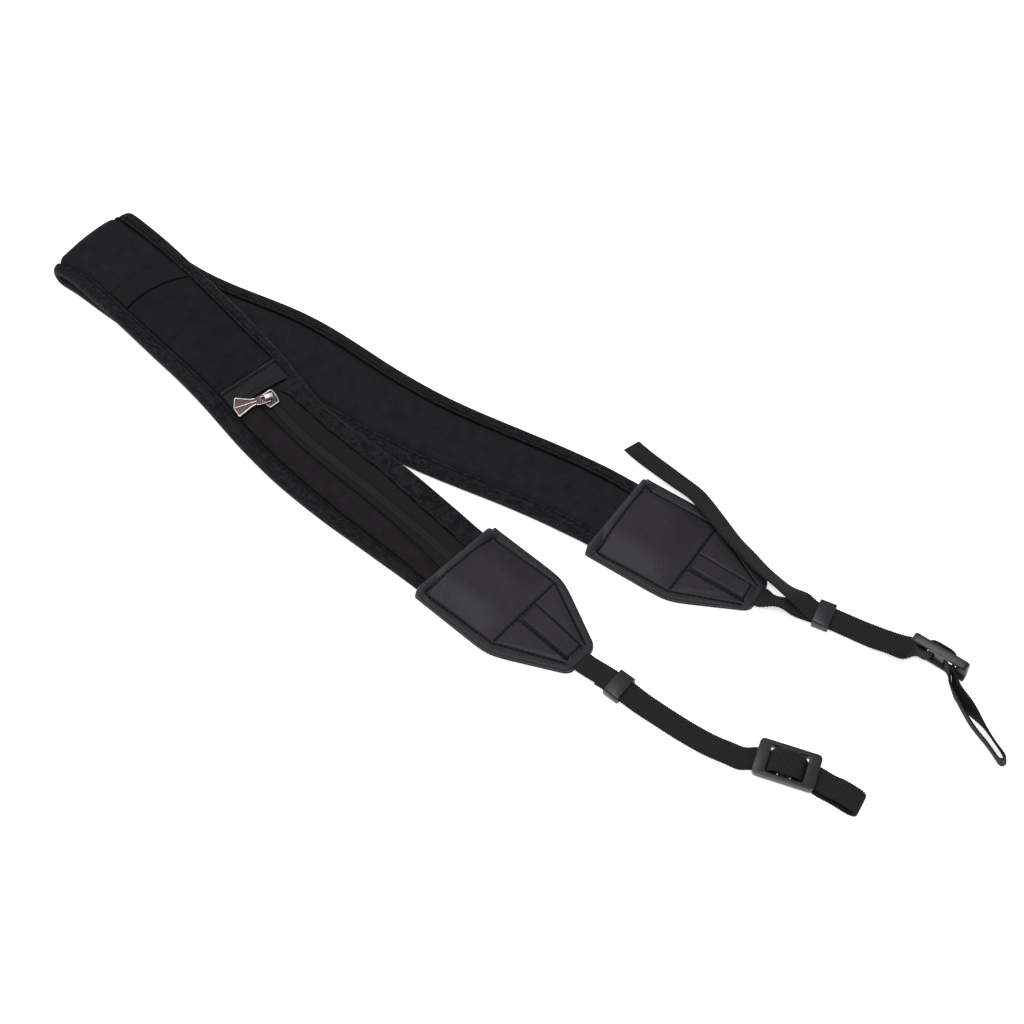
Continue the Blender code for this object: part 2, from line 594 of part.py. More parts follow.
def build_slider():
    """Slider body: tapered plate, side flanges and a bridge turned with the pull."""
    half = SLIDER_LENGTH / 2
    wide = SLIDER_WIDTH / 2
    narrow = SLIDER_NARROW / 2
    outline = ((half, wide - 0.8), (half - 0.8, wide), (0.0, wide), (-half, narrow), (-half, -narrow), (0.0, -wide),
               (half - 0.8, -wide), (half, 0.8 - wide))
    body = plate_from_outline("zip_slider", (outline, ), PLATE_THICK, "antique_nickel")
    body.data.transform(Matrix.Translation((0, 0, (PLATE_BASE + PLATE_THICK / 2) * MM)))
    for side in (1, -1):
        flange = tool_box("flange", (SLIDER_LENGTH / 2, 0.6, PLATE_BASE - FLANGE_BASE + 0.2),
                          (half / 2, side * (wide - 0.3), (PLATE_BASE + FLANGE_BASE + 0.2) / 2))
        combine(body, flange, "UNION")
    clear_length, clear_height = BRIDGE_HOLE
    foot = PLATE_BASE + PLATE_THICK - 0.2
    top = PLATE_BASE + PLATE_THICK + clear_height + BRIDGE_WALL
    bridge = tool_box("bridge", (clear_length + 2 * BRIDGE_WALL, BRIDGE_WIDTH, top - foot), (0, 0, (top + foot) / 2))
    under = tool_box("bridge_hole", (clear_length, BRIDGE_WIDTH + 2, clear_height + 0.3),
                     (0, 0, PLATE_BASE + PLATE_THICK + clear_height / 2 - 0.15))
    combine(bridge, under, "DIFFERENCE")
    bridge.data.transform(Matrix.Rotation(radians(PULL_TURN), 4, "Z"))
    combine(body, bridge, "UNION")
    body.matrix_world = slider_matrix()
    body.data.shade_flat()


def build_pull():
    """Flared pull on the slider's bridge, with its origin on the hinge line under it."""
    window_start, window_end, window_half = RING_WINDOW
    outline = ((-window_start, RING_HALF - 0.5), (-window_start + 0.4, RING_HALF), (window_end + 0.2, RING_HALF),
               (6.2, 1.8), (8.2, 2.2), (11.2, 3.6), (14.2, 5.1), (14.9, 4.8), (PULL_LENGTH, 0.0), (14.9, -4.8),
               (14.2, -5.1), (11.2, -3.6), (8.2, -2.2), (6.2, -1.8), (window_end + 0.2, -RING_HALF),
               (-window_start + 0.4, -RING_HALF), (-window_start, 0.5 - RING_HALF))
    window = ((window_start, -window_half), (window_start, window_half), (window_end - 0.5, window_half),
              (window_end, window_half - 0.5), (window_end, 0.5 - window_half), (window_end - 0.5, -window_half))
    pull = plate_from_outline("zip_pull", (outline, window), PULL_THICK, "antique_nickel")
    axis_height = PLATE_BASE + PLATE_THICK + BRIDGE_HOLE[1] / 2 + 0.05
    place = (slider_matrix() @ Matrix.Translation((0, 0, axis_height * MM))
             @ Matrix.Rotation(radians(PULL_TURN), 4, "Z") @ Matrix.Rotation(radians(PULL_DIP), 4, "Y"))
    pull.matrix_world = place


# ---------------------------------------------------------------- end patches
def patch_half_width(x):
    """Half width of a patch along its length, with round shoulders and corners."""
    slope = (PATCH_HALF - PATCH_TIP_HALF) / (PATCH_LENGTH - PATCH_SHOULDER)
    side = PATCH_HALF
    taper = PATCH_HALF - slope * (x - PATCH_SHOULDER)
    blend = 1.2
    half = -blend * np.logaddexp(-side / blend, -taper / blend)
    for corner, end in zip(PATCH_CORNERS, (x, PATCH_LENGTH - x)):
        if end < corner:
            half -= corner - (corner**2 - (corner - end)**2)**0.5
    return half


def patch_place(place, x, y, z):
    """Point of a patch given along, across and up."""
    along = compass(place[2])
    left = compass(place[2] + 90)
    return np.array([place[0], place[1], 0.0]) + along * x + left * y + np.array([0, 0, z])


def build_patch(name, place):
    """Leather end patch: a flat bottom and a top crowned over the band's end."""
    rows = [row[0] for row in PATCH_ROWS]
    outline = [(x, patch_half_width(x)) for x in (0.0, 0.3, 1.0, 20.0, 36.0, 38.0, 41.0, 44.0, 67.2, 68.6, 69.4)]
    outline += [(x, -y) for x, y in reversed(outline)]
    bottom = plate_from_outline(name + "_bottom", (outline, ), LEATHER, "patch_leather")
    origin = to_world([patch_place(place, 0, 0, LEATHER / 2)])[0]
    bottom.matrix_world = Matrix.Translation(origin) @ Matrix.Rotation(radians(place[2]), 4, "Z")

    shares = np.linspace(-1, 1, 9)
    mesh = bpy.data.meshes.new(name + "_top")
    skin = bmesh.new()
    bmesh.ops.create_grid(skin, x_segments=len(rows) - 1, y_segments=len(shares) - 1, size=1.0)
    for vert in skin.verts:
        i = round((vert.co.x + 1) / 2 * (len(rows) - 1))
        k = round((vert.co.y + 1) / 2 * (len(shares) - 1))
        x, rise, rim = PATCH_ROWS[i]
        half = patch_half_width(x)
        crown = rim + CROWN_RUN * rise - half
        across = (-half, rim - half, crown, crown / 2, 0.0)
        y = across[k] if k < 5 else -across[8 - k]
        height = LEATHER + GAP + (0.0 if k in (0, 1, 7, 8) else rise)
        vert.co = to_world([patch_place(place, x, y, height)])[0]
    skin.to_mesh(mesh)
    skin.free()
    mesh.shade_smooth()
    top = add_object(name + "_top", mesh, "patch_leather")
    wall = top.modifiers.new("leather", "SOLIDIFY")
    wall.thickness = LEATHER * MM
    wall.offset = 1.0
    wall.use_even_offset = False


# ---------------------------------------------------------------- webbing
def strap_frame(x, y, z, heading, tilt, side):
    """Frame of the strap: X along it, Y across it, Z towards the buckle's humped face."""
    along = compass(heading)
    level = compass(heading + 90 * side)
    across = level * cos(radians(tilt)) + np.array([0, 0, sin(radians(tilt))])
    return np.array([x, y, z], float), along, across, np.cross(along, across)


def layer_rows(rows, side, offset):
    """Middle and width direction of a layer of webbing that lies off a table of rows."""
    result = []
    for row in rows:
        origin, _, across, normal = strap_frame(*row, side)
        result.append((origin + normal * offset, across))
    return result


def thread_rows(table, buckle, side, reach, shift):
    """Path of a layer through the buckle, cut short on the loop's side at its reach."""
    origin, along, across, normal = strap_frame(*buckle, side)
    origin = origin + across * shift
    path = list(table) + [(-x, h) for x, h in reversed(table[:-1]) if -x < reach]
    return [(origin + along * x + normal * h, across) for x, h in path]


def ribbon(name, rows):
    """Flat webbing along a smooth line through rows of (middle, width direction)."""
    middles = np.array([row[0] for row in rows])
    widths = np.array([row[1] for row in rows])
    chords = np.concatenate([[0], np.cumsum(np.linalg.norm(np.diff(middles, axis=0), axis=1))])
    middle_at = spline(chords, middles)
    width_at = spline(chords, widths)

    def frames(at):
        line = middle_at(at)
        forward = np.gradient(line, at, axis=0)
        forward /= np.linalg.norm(forward, axis=1)[:, None]
        across = width_at(at)
        across /= np.linalg.norm(across, axis=1)[:, None]
        normal = np.cross(forward, across)
        normal /= np.linalg.norm(normal, axis=1)[:, None]
        return line, forward, across, normal

    dense = np.linspace(0, chords[-1], 1200)
    line, forward, across, _ = frames(dense)
    turn = np.linalg.norm(np.diff(forward, axis=0), axis=1) + 3 * np.linalg.norm(np.diff(across, axis=0), axis=1)
    travel = np.linalg.norm(np.diff(line, axis=0), axis=1)
    need = np.concatenate([[0], np.cumsum(travel / RING_SPACING + turn / radians(RING_TURN))])
    places = np.interp(np.linspace(0, need[-1], int(need[-1]) + 2), need, np.arange(len(dense)))
    chosen = np.unique(places.round().astype(int))
    line, _, across, normal = (values[chosen] for values in frames(dense))
    across = across * WEBBING_WIDTH / 2
    normal = normal * WEBBING_THICK / 2
    rings = np.stack([line + across + normal, line + normal, line - across + normal, line - across - normal,
                      line - normal, line + across - normal], axis=1)
    loft(name, rings, "webbing_fabric")


def patch_rows(place, side):
    """The webbing's sewn end inside a patch."""
    height = LEATHER + GAP + WEBBING_THICK / 2
    return [(patch_place(place, x, 0, height), compass(place[2] + 90 * side)) for x in (45.0, 53.0, 61.0, 67.5, 71.2)]


def build_webbing(name, patch, run, lay, buckle, loop, tail, side, reach, shift):
    """One webbing from patch to buckle, round the lug loop and back to its free tail."""
    rows = patch_rows(patch, side)
    rows += layer_rows(run, side, 0.0)
    rows += layer_rows(lay, side, LAYER_STEP / 2)
    rows += thread_rows(MAIN_THREAD, buckle, side, reach, shift)
    rows += layer_rows(loop, side, 0.0)
    rows += thread_rows(TAIL_THREAD, buckle, side, reach, shift)[::-1]
    rows += layer_rows(lay[::-1], side, -LAYER_STEP / 2)
    rows += layer_rows(tail, side, 0.0)
    ribbon(name, rows)


# ---------------------------------------------------------------- moulded pieces
def build_keeper(name, place):
    """Rectangular keeper loop round the two layers of webbing."""
    along, across, height = KEEPER_SIZE
    hole_across, hole_height = KEEPER_HOLE
    middle = height / 2
    outer = rounded_box(across / 2, middle, 1.3)
    hole = rounded_box(hole_across / 2, hole_height / 2, 0.5, 2, (0.0, KEEPER_FLOOR + hole_height / 2 - middle))
    keeper = plate_from_outline(name, (outer, hole), along, "moulded_plastic")
    origin = to_world([[place[0], place[1], middle]])[0]
    keeper.matrix_world = (Matrix.Translation(origin) @ Matrix.Rotation(radians(place[2] + 90), 4, "Z")
                           @ Matrix.Rotation(radians(90), 4, "X"))


def build_buckle(name, place, side):
    """Three-bar buckle: a frame that is relieved under its end bars, and a centre bar."""
    window = rounded_box(BUCKLE_WINDOW[0] / 2, BUCKLE_WINDOW[1] / 2, 0.6, 1)
    outer = rounded_box(BUCKLE_LENGTH / 2, BUCKLE_WIDTH / 2, 1.8)
    buckle = plate_from_outline(name, (outer, window), BUCKLE_TOP - BUCKLE_BASE, "moulded_plastic")
    buckle.data.transform(Matrix.Translation((0, 0, (BUCKLE_TOP + BUCKLE_BASE) / 2 * MM)))
    relief_depth = END_BAR_BASE - BUCKLE_BASE + 1
    relief = tool_box("relief", (BUCKLE_LENGTH + 2, RELIEF_WIDTH, relief_depth),
                      (0, 0, END_BAR_BASE - relief_depth / 2))
    combine(buckle, relief, "DIFFERENCE")
    length, low, high = CENTRE_BAR
    bar = tool_box("centre_bar", (length, BUCKLE_WINDOW[1] + 1.6, high - low), (0, 0, (low + high) / 2))
    combine(buckle, bar, "UNION")
    origin, along, across, normal = strap_frame(*place, side)
    matrix = Matrix([Vector(axis) for axis in (along, across, normal)]).transposed().to_4x4()
    matrix.translation = Vector(to_world([origin])[0])
    buckle.matrix_world = matrix


# ---------------------------------------------------------------- assembly
clear_scene()
STRAP = make_collection(OBJECT_NAME, bpy.context.scene.collection)
TOOLS = make_collection("tools", bpy.context.scene.collection)
MATERIALS = {name: make_material(name, finish) for name, finish in FINISHES.items()}
NEAR = Band(NEAR_ROUTE, NEAR_MOUTH_HEADING, "near")
FAR = Band(FAR_ROUTE, FAR_MOUTH_HEADING, "far")

build_core()
build_bindings()
build_pocket()
build_coil()
build_band_tab()
build_slider()
build_pull()
build_patch("near_patch", NEAR_PATCH)
build_patch("far_patch", FAR_PATCH)
build_webbing("near_webbing", NEAR_PATCH, NEAR_PATCH_RUN, NEAR_LAY, NEAR_BUCKLE, NEAR_LOOP, NEAR_TAIL, 1,
              NEAR_REACH, NEAR_SHIFT)
build_webbing("far_webbing", FAR_PATCH, FAR_PATCH_RUN, FAR_LAY, FAR_BUCKLE, FAR_LOOP, FAR_TAIL, -1,
              FAR_REACH, FAR_SHIFT)
build_keeper("near_keeper", NEAR_KEEPER)
build_keeper("far_keeper", FAR_KEEPER)
build_buckle("near_buckle", NEAR_BUCKLE, 1)
build_buckle("far_buckle", FAR_BUCKLE, -1)
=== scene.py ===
# %% [markdown]
# # A padded camera strap, folded once on a white table
#
# The strap is a long padded band.  Its near half lies on top with a zip pocket facing up, it
# turns back through a fold on the left, and its far half lies underneath.  Each end goes into
# a leather patch, and a narrow webbing runs from there through a keeper and a buckle.
#
# The solids of the strap are loaded first.  Everything below is made in the same place and
# size: lengths are in millimetres, X to the right, Y away from the camera, Z up.

# %% Load the solids
from math import radians

import bmesh
import bpy
import numpy as np
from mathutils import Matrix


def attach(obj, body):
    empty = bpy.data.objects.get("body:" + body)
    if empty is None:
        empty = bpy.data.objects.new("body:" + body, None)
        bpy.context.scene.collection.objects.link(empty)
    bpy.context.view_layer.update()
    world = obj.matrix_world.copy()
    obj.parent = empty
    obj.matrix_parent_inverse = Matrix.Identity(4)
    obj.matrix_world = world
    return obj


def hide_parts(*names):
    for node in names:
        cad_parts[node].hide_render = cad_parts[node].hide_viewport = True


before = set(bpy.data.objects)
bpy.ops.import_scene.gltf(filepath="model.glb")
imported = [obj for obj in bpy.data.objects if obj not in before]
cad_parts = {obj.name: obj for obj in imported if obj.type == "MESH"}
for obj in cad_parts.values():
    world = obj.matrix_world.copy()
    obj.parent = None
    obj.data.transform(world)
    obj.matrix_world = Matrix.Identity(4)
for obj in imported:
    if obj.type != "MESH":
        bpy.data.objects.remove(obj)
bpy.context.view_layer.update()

MM = 0.001
TURN = 2 * np.pi
UP = np.array([0.0, 0.0, 1.0])
MIDDLE = np.array([-9.83, 11.47, 0.0])      # middle of the strap's outline in the layout

# %% [markdown]
# ## Camera, table and light
#
# The picture looks down on the table at a steep angle through a fairly long lens, so parallel
# edges stay nearly parallel.  A camera could be placed by eye, but the flat buckle and the
# keepers fix the angle and the distance, so both are plain numbers here.

# %% Camera
LOOK_DOWN = radians(56.27)
DISTANCE = 763.0
FOCAL_PIXELS = 1800.0
PICTURE_PIXELS = 1024
SENSOR = 36.0


def add_object(name, data):
    """New object in the scene that shows the data."""
    item = bpy.data.objects.new(name, data)
    bpy.context.scene.collection.objects.link(item)
    return item


sight = np.array([0.0, np.cos(LOOK_DOWN), -np.sin(LOOK_DOWN)])
lens = bpy.data.cameras.new("camera")
lens.sensor_width = SENSOR
lens.lens = FOCAL_PIXELS * SENSOR / PICTURE_PIXELS
camera = add_object("camera", lens)
camera.location = (-sight * DISTANCE - MIDDLE) * MM
camera.rotation_euler = (radians(90) - LOOK_DOWN, 0.0, 0.0)
bpy.context.scene.camera = camera
print("camera at", [round(v, 3) for v in camera.location], "lens", round(lens.lens, 2), "mm")

# %% [markdown]
# The strap was photographed in a light tent: white from every side, with hardly a shadow.  A
# pale world gives most of the light and a wide lamp overhead puts a sheen on slopes that face
# the viewer.  More lamps could wash out the shadows, but they would flatten the cloth too, so
# the paper glows a little instead.

# %% Table and light
TABLE_HALF = 3.0                             # metres, like the table's level and the lamps
TABLE_LEVEL = -0.0003


def set_inputs(node, **values):
    """Give a node's sockets their values; "_" in a name stands for a blank."""
    for key, value in values.items():
        node.inputs[key.replace("_", " ")].default_value = value


corners = [(x * TABLE_HALF, y * TABLE_HALF, TABLE_LEVEL) for x, y in ((-1, -1), (1, -1), (1, 1), (-1, 1))]
sheet = bpy.data.meshes.new("table")
sheet.from_pydata(corners, [], [(0, 1, 2, 3)])
table = add_object("table", sheet)
paper = bpy.data.materials.new("white_paper")
paper.use_nodes = True
set_inputs(paper.node_tree.nodes["Principled BSDF"], Base_Color=(0.93, 0.93, 0.93, 1), Roughness=0.95,
           Specular_IOR_Level=0.0, Emission_Color=(1.0, 1.0, 1.0, 1), Emission_Strength=0.60)
table.data.materials.append(paper)

world = bpy.data.worlds.new("light_tent")
world.use_nodes = True
set_inputs(world.node_tree.nodes["Background"], Color=(0.97, 0.98, 1.0, 1), Strength=0.48)
bpy.context.scene.world = world
bpy.context.scene.view_settings.view_transform = "Standard"

for name, place, size, watts in (("overhead_lamp", (-0.25, -0.25, 1.8), 1.3, 25.0),
                                 ("window_lamp", (-1.2, 0.9, 1.3), 1.0, 6.0)):
    light = bpy.data.lights.new(name, "AREA")
    light.energy = watts
    light.size = size
    lamp = add_object(name, light)
    lamp.location = place
    lamp.rotation_euler = (-lamp.location).to_track_quat("-Z", "Y").to_euler()
print("table, world and two lamps")

# %% [markdown]
# ## Finishes
#
# Every finish is a Principled shader with patterns that are computed from the surface.  Node
# graphs are tedious to wire by hand, so one small class wraps a socket: sums and products
# written in Python add their Math nodes.  The patterns read a UV map in millimetres, so that
# weave and ribs follow the cloth round its bends.

# %% Shader arithmetic
class Wire:
    """A value that runs through a material; arithmetic on it adds Math nodes."""

    def __init__(self, tree, socket):
        self.tree = tree
        self.socket = socket

    def maths(self, operation, *others):
        step = self.tree.nodes.new("ShaderNodeMath")
        step.operation = operation
        for socket, value in zip(step.inputs, (self, *others)):
            plug(self.tree, socket, value)
        return Wire(self.tree, step.outputs[0])

    def __add__(self, other):
        return self.maths("ADD", other)

    def __sub__(self, other):
        return self.maths("SUBTRACT", other)

    def __rsub__(self, other):
        return self * -1.0 + other

    def __mul__(self, other):
        return self.maths("MULTIPLY", other)

    def sine(self):
        return self.maths("SINE")

    def wave(self):
        """Sine raised to lie between 0 and 1."""
        return self.sine() * 0.5 + 0.5

    def limited(self):
        return self.maths("MINIMUM", 1.0).maths("MAXIMUM", 0.0)


def plug(tree, socket, value):
    """Put a number, a colour or a wire into a socket."""
    if isinstance(value, Wire):
        tree.links.new(value.socket, socket)
    else:
        socket.default_value = value


class Finish:
    """Principled material whose varying inputs are wired up through its methods."""

    def __init__(self, name, colour, roughness, **fixed):
        self.material = bpy.data.materials.new(name)
        self.material.use_nodes = True
        self.tree = self.material.node_tree
        self.shader = self.tree.nodes["Principled BSDF"]
        self.colour = colour
        set_inputs(self.shader, Base_Color=(*colour, 1.0), Roughness=roughness, **fixed)

    def node(self, kind, out=0, settings=None, **sockets):
        """Add any node: its settings first, then the values or links of its sockets."""
        step = self.tree.nodes.new("ShaderNode" + kind)
        for key, value in (settings or {}).items():
            setattr(step, key, value)
        for key, value in sockets.items():
            plug(self.tree, step.inputs[key.replace("_", " ")], value)
        return Wire(self.tree, step.outputs[out])

    def vary(self, key, value):
        """Wire a value into an input of the shader."""
        plug(self.tree, self.shader.inputs[key], value)

    def place(self):
        """Place in the strap's own space, in metres."""
        return self.node("TexCoord", "Object")

    def cloth(self):
        """Distances along and across the cloth, in millimetres."""
        flat = self.node("UVMap", settings={"uv_map": "cloth"})
        return [self.node("SeparateXYZ", axis, Vector=flat) for axis in "XY"]

    def cloud(self, scale, detail=3.0, vector=None):
        """Soft random pattern between 0 and 1."""
        return self.node("TexNoise", "Fac", Vector=vector or self.place(), Scale=scale, Detail=detail)

    def shade(self, factor, low=0.0, high=1.0):
        """Base colour from low to high times the finish's own colour, with painted shade and light.

        The surface's own attribute seam holds them: 1 is full painted shade, as deep in a seam's
        groove, 0 is plain cloth and less than 0 is painted light, as on a rolled edge.
        """
        tint = self.node("Mix", 2, {"data_type": "RGBA"}, Factor=factor.limited())
        for socket, share in ((6, low), (7, high)):
            tint.socket.node.inputs[socket].default_value = (*(c * share for c in self.colour), 1.0)
        # painted shade above 0 and painted light below 0, from the surface's attribute seam
        seam = self.node("Attribute", "Fac", {"attribute_name": "seam"})
        self.vary("Base Color", self.node("VectorMath", "Vector", {"operation": "SCALE"}, Vector=tint,
                                          Scale=1 - seam * 0.88))

    def relief(self, height, depth):
        """Bumps of a depth in millimetres from a height between 0 and 1."""
        self.vary("Normal", self.node("Bump", "Normal", Height=height, Distance=depth * MM, Strength=1.0))


print("shader tools ready")

# %% [markdown]
# The cloths are nearly black.  What tells them apart up close is structure: a fine knit on the
# band, a brushed binding whose rolled edge has a little sheen, with painted light on one side and
# painted shade on the other, ribs on the ribbon and webbing, a twill on the zip's tapes.  A little
# sheen stands for the loose fibres.

# %% Cloth finishes
def knit_finish(name, colour, pitch, depth, speckle=1.1, grain=2200.0, sheen=0.02, streaks=0.0):
    """Knitted cloth: rows of small loops, loose fibres, a soft mottle and streaks along the strap."""
    finish = Finish(name, colour, 0.95, Sheen_Weight=sheen, Sheen_Roughness=0.4, Specular_IOR_Level=0.06)
    along, across = finish.cloth()
    turn = TURN / pitch
    shift = (across * (turn / 2)).sine() * 0.9
    loops = (along * turn + shift).sine() * (across * turn).sine()
    fuzz = finish.cloud(grain, 2.0)
    mottle = finish.cloud(160.0, 4.0)
    drawn = finish.node("CombineXYZ", "Vector", X=along * 0.35, Y=across, Z=0.0)
    streak = (finish.cloud(0.8, 3.0, drawn) - 0.5) * streaks
    finish.shade(mottle * 0.9 + 0.05 + loops * 0.10 + (fuzz - 0.5) * speckle + streak, 0.55, 1.45)
    finish.relief(loops * 0.25 + fuzz * 0.8, depth)
    return finish.material


def ribbed_finish(name, colour, pitch, depth, slant):
    """Ribbon or tape: round ribs at a pitch and a slant to the strap, with fine yarns on them."""
    finish = Finish(name, colour, 0.92, Sheen_Weight=0.02, Sheen_Roughness=0.5, Specular_IOR_Level=0.08)
    along, across = finish.cloth()
    turn = radians(slant)
    rib = ((across * np.cos(turn) + along * np.sin(turn)) * (TURN / pitch)).wave()
    yarn = ((along * np.cos(turn) - across * np.sin(turn)) * (TURN / (pitch * 0.8))).wave()
    fuzz = finish.cloud(2500.0, 2.0)
    finish.shade(rib * 0.5 + yarn * 0.2 + (fuzz - 0.5) * 0.6 + 0.15, 0.45, 1.6)
    finish.relief(rib * 0.8 + yarn * 0.25 * rib + fuzz * 0.15, depth)
    return finish.material


def webbing_finish(name, colour):
    """Webbing: the ribs are in its shape, so only the yarns are painted, with painted shade between the ribs.
    """
    finish = Finish(name, colour, 0.85, Sheen_Weight=0.02, Sheen_Roughness=0.5, Specular_IOR_Level=0.14)
    along, across = finish.cloth()
    rib = (along * TURN).wave()
    yarn = (across * (TURN / 0.62) + along * 3.0).wave()
    fuzz = finish.cloud(3000.0, 2.0)
    finish.shade(rib * 0.6 + yarn * 0.22 + (fuzz - 0.5) * 0.5 + 0.05, 0.35, 1.9)
    finish.relief(yarn * 0.6 + fuzz * 0.4, 0.08)
    return finish.material


def thread_finish(name, colour):
    """Sewing thread: darker than the cloth, with the twist of its plies."""
    finish = Finish(name, colour, 0.75, Specular_IOR_Level=0.10)
    finish.shade(finish.cloud(3500.0, 1.0), 0.6, 1.4)
    finish.relief(finish.cloud(5000.0, 1.0), 0.05)
    return finish.material


PANEL_CLOTH = knit_finish("panel_cloth", (0.0104, 0.0098, 0.0118), 0.9, 0.12)
SIDE_CLOTH = knit_finish("side_cloth", (0.0128, 0.0114, 0.0124), 0.9, 0.12)
INNER_CLOTH = knit_finish("inner_cloth", (0.0122, 0.0114, 0.0132), 1.2, 0.16)
BINDING_CLOTH = knit_finish("binding_cloth", (0.0112, 0.0104, 0.0118), 0.7, 0.20, speckle=2.6, grain=1200.0,
                            sheen=0.06, streaks=2.6)
RIBBON_CLOTH = ribbed_finish("ribbon_cloth", (0.0098, 0.0094, 0.0106), 1.0, 0.16, 0)
TAPE_CLOTH = ribbed_finish("tape_cloth", (0.0112, 0.0106, 0.0114), 0.9, 0.10, 55)
WEBBING_CLOTH = webbing_finish("webbing_cloth", (0.0135, 0.0122, 0.0130))
THREAD = thread_finish("sewing_thread", (0.0045, 0.0042, 0.0048))
print("eight cloths ready")

# %% [markdown]
# The hard finishes: coated leather with a fine grain, satin moulded plastic, the nylon of the
# zip's coil, and antique nickel, which is bright on the edges and dull in the hollows.

# %% Leather, plastic and metal finishes
def leather_finish(name, colour, roughness, shine):
    """Coated leather: small rounded grain cells and a slow change of gloss."""
    finish = Finish(name, colour, roughness, Specular_IOR_Level=shine)
    cells = finish.node("TexVoronoi", "Distance", {"feature": "SMOOTH_F1"}, Vector=finish.place(),
                        Scale=1500.0, Smoothness=0.6)
    creases = finish.cloud(700.0, 3.0)
    slow = finish.cloud(45.0, 2.0)
    finish.shade(slow * 0.8 + 0.1 - (cells - 0.4) * 0.5, 0.75, 1.25)
    finish.relief((1 - cells) * 0.7 + creases * 0.5, 0.10)
    finish.vary("Roughness", slow * 0.14 + (roughness - 0.07) + cells * 0.08)
    return finish.material


def plastic_finish(name, colour, roughness, shine):
    """Moulded plastic with a fine spark-eroded texture."""
    finish = Finish(name, colour, roughness, Specular_IOR_Level=shine)
    grain = finish.cloud(4200.0, 2.0)
    finish.shade(finish.cloud(120.0, 3.0) * 0.6 + grain * 0.4, 0.85, 1.18)
    finish.relief(grain, 0.03)
    finish.vary("Roughness", grain * 0.12 + (roughness - 0.06))
    return finish.material


def nickel_finish(name, colour, roughness):
    """Antique nickel: brushed lines, darker patina in patches."""
    finish = Finish(name, colour, roughness, Metallic=1.0)
    patina = finish.cloud(420.0, 4.0)
    brushed = finish.cloud(1600.0, 3.0)
    finish.shade(patina * 1.2 - 0.1 + (brushed - 0.5) * 0.5, 0.55, 1.15)
    finish.relief(brushed * 0.6 + patina * 0.4, 0.03)
    finish.vary("Roughness", patina * 0.25 + (roughness - 0.10))
    return finish.material


PATCH_LEATHER = leather_finish("patch_leather_grain", (0.0200, 0.0178, 0.0212), 0.43, 0.16)
BAND_LEATHER = leather_finish("band_leather_smooth", (0.0105, 0.0099, 0.0114), 0.55, 0.12)
BUCKLE_PLASTIC = plastic_finish("satin_plastic", (0.0130, 0.0115, 0.0135), 0.34, 0.38)
COIL_NYLON = plastic_finish("coil_nylon", (0.0120, 0.0113, 0.0122), 0.70, 0.10)
NICKEL = nickel_finish("antique_nickel_bright", (0.80, 0.73, 0.72), 0.36)
NICKEL_DULL = nickel_finish("antique_nickel_dull", (0.110, 0.080, 0.079), 0.50)
print("leather, plastic and nickel ready")

# %% [markdown]
# ## Surfaces from numbers
#
# A soft piece is a ring of points carried along a path.  All rings are worked out as one
# array, joined to the next ring by quads, and closed by a flat face at either end.  The UV map
# "cloth" keeps distances in millimetres.

# %% Mesh from rings
def travelled(points):
    """Distance from the first point to each one, along the line through them."""
    return np.r_[0, np.cumsum(np.linalg.norm(np.diff(points, axis=0), axis=1))]


def unit(ways):
    """Directions made 1 long."""
    return ways / np.linalg.norm(ways, axis=-1, keepdims=True)


def ring_corners(count, size):
    """Ring and place in the ring of the four corners of each quad between two rings."""
    return np.broadcast_arrays(np.arange(count - 1)[:, None, None] + np.array((0, 0, 1, 1)),
                               np.arange(size)[:, None] + np.array((0, 1, 1, 0)))


def outward(mesh):
    """Turn the faces of a closed mesh outward."""
    skin = bmesh.new()
    skin.from_mesh(mesh)
    if skin.calc_volume(signed=True) < 0:
        bmesh.ops.reverse_faces(skin, faces=skin.faces)
        skin.to_mesh(mesh)
    skin.free()
    return mesh


def rings_mesh(name, rings, along, row, seam=None):
    """Closed skin through rings[n, m, 3] in layout millimetres.

    The UV map holds along[n] and the distance round the ring of the given row.  seam[n, k], the
    painted shade and light, is the attribute "seam" of the first k points of each ring; the others get 0.
    """
    count, size = rings.shape[:2]
    i, j = ring_corners(count, size)
    caps = [list(range(size))[::-1], list(range((count - 1) * size, count * size))]
    mesh = bpy.data.meshes.new(name)
    mesh.from_pydata(((rings.reshape(-1, 3) - MIDDLE) * MM).tolist(), [],
                     (i * size + j % size).reshape(-1, 4).tolist() + caps)
    around = travelled(np.vstack([rings[row], rings[row, :1]]))
    ends = np.stack([np.repeat(along[[0, -1]], size), np.r_[around[:size][::-1], around[:size]]], -1)
    uv = np.vstack([np.stack([along[i], around[j]], -1).reshape(-1, 2), ends])
    mesh.uv_layers.new(name="cloth").data.foreach_set("uv", uv.astype(np.float32).ravel())
    if seam is not None:
        shades = np.zeros((count, size), np.float32)
        shades[:, :seam.shape[1]] = seam
        mesh.attributes.new("seam", "FLOAT", "POINT").data.foreach_set("value", shades.ravel())
    return outward(mesh)


def two_sided(name, upper, lower, along, row, seam=None):
    """Closed skin whose rings run over upper[n, k] and back under lower[n, k]."""
    return rings_mesh(name, np.hstack([upper, lower[:, ::-1]]), along, row, seam)


def dress(mesh, material, node, body="strap"):
    """Show a mesh as a piece that rides on its body and stands for its solid."""
    piece = add_object(mesh.name, mesh)
    mesh.materials.append(material)
    mesh.shade_smooth()
    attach(piece, body)
    if node:
        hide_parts(node)
    print(piece.name, len(mesh.polygons), "faces")
    return piece


# %% [markdown]
# The heights of cloth and leather are sums of a few simple curves: a soft step, a bell for
# seams and ridges, a quarter round for edges and an uneven ripple.  Random noise could give
# the ripple too, but a sum of sines is smooth at every scale.

# %% Curves for heights
def ease(x):
    """0 below 0, 1 above 1 and a smooth S between: 3x^2 - 2x^3."""
    x = np.clip(x, 0.0, 1.0)
    return x * x * (3 - 2 * x)


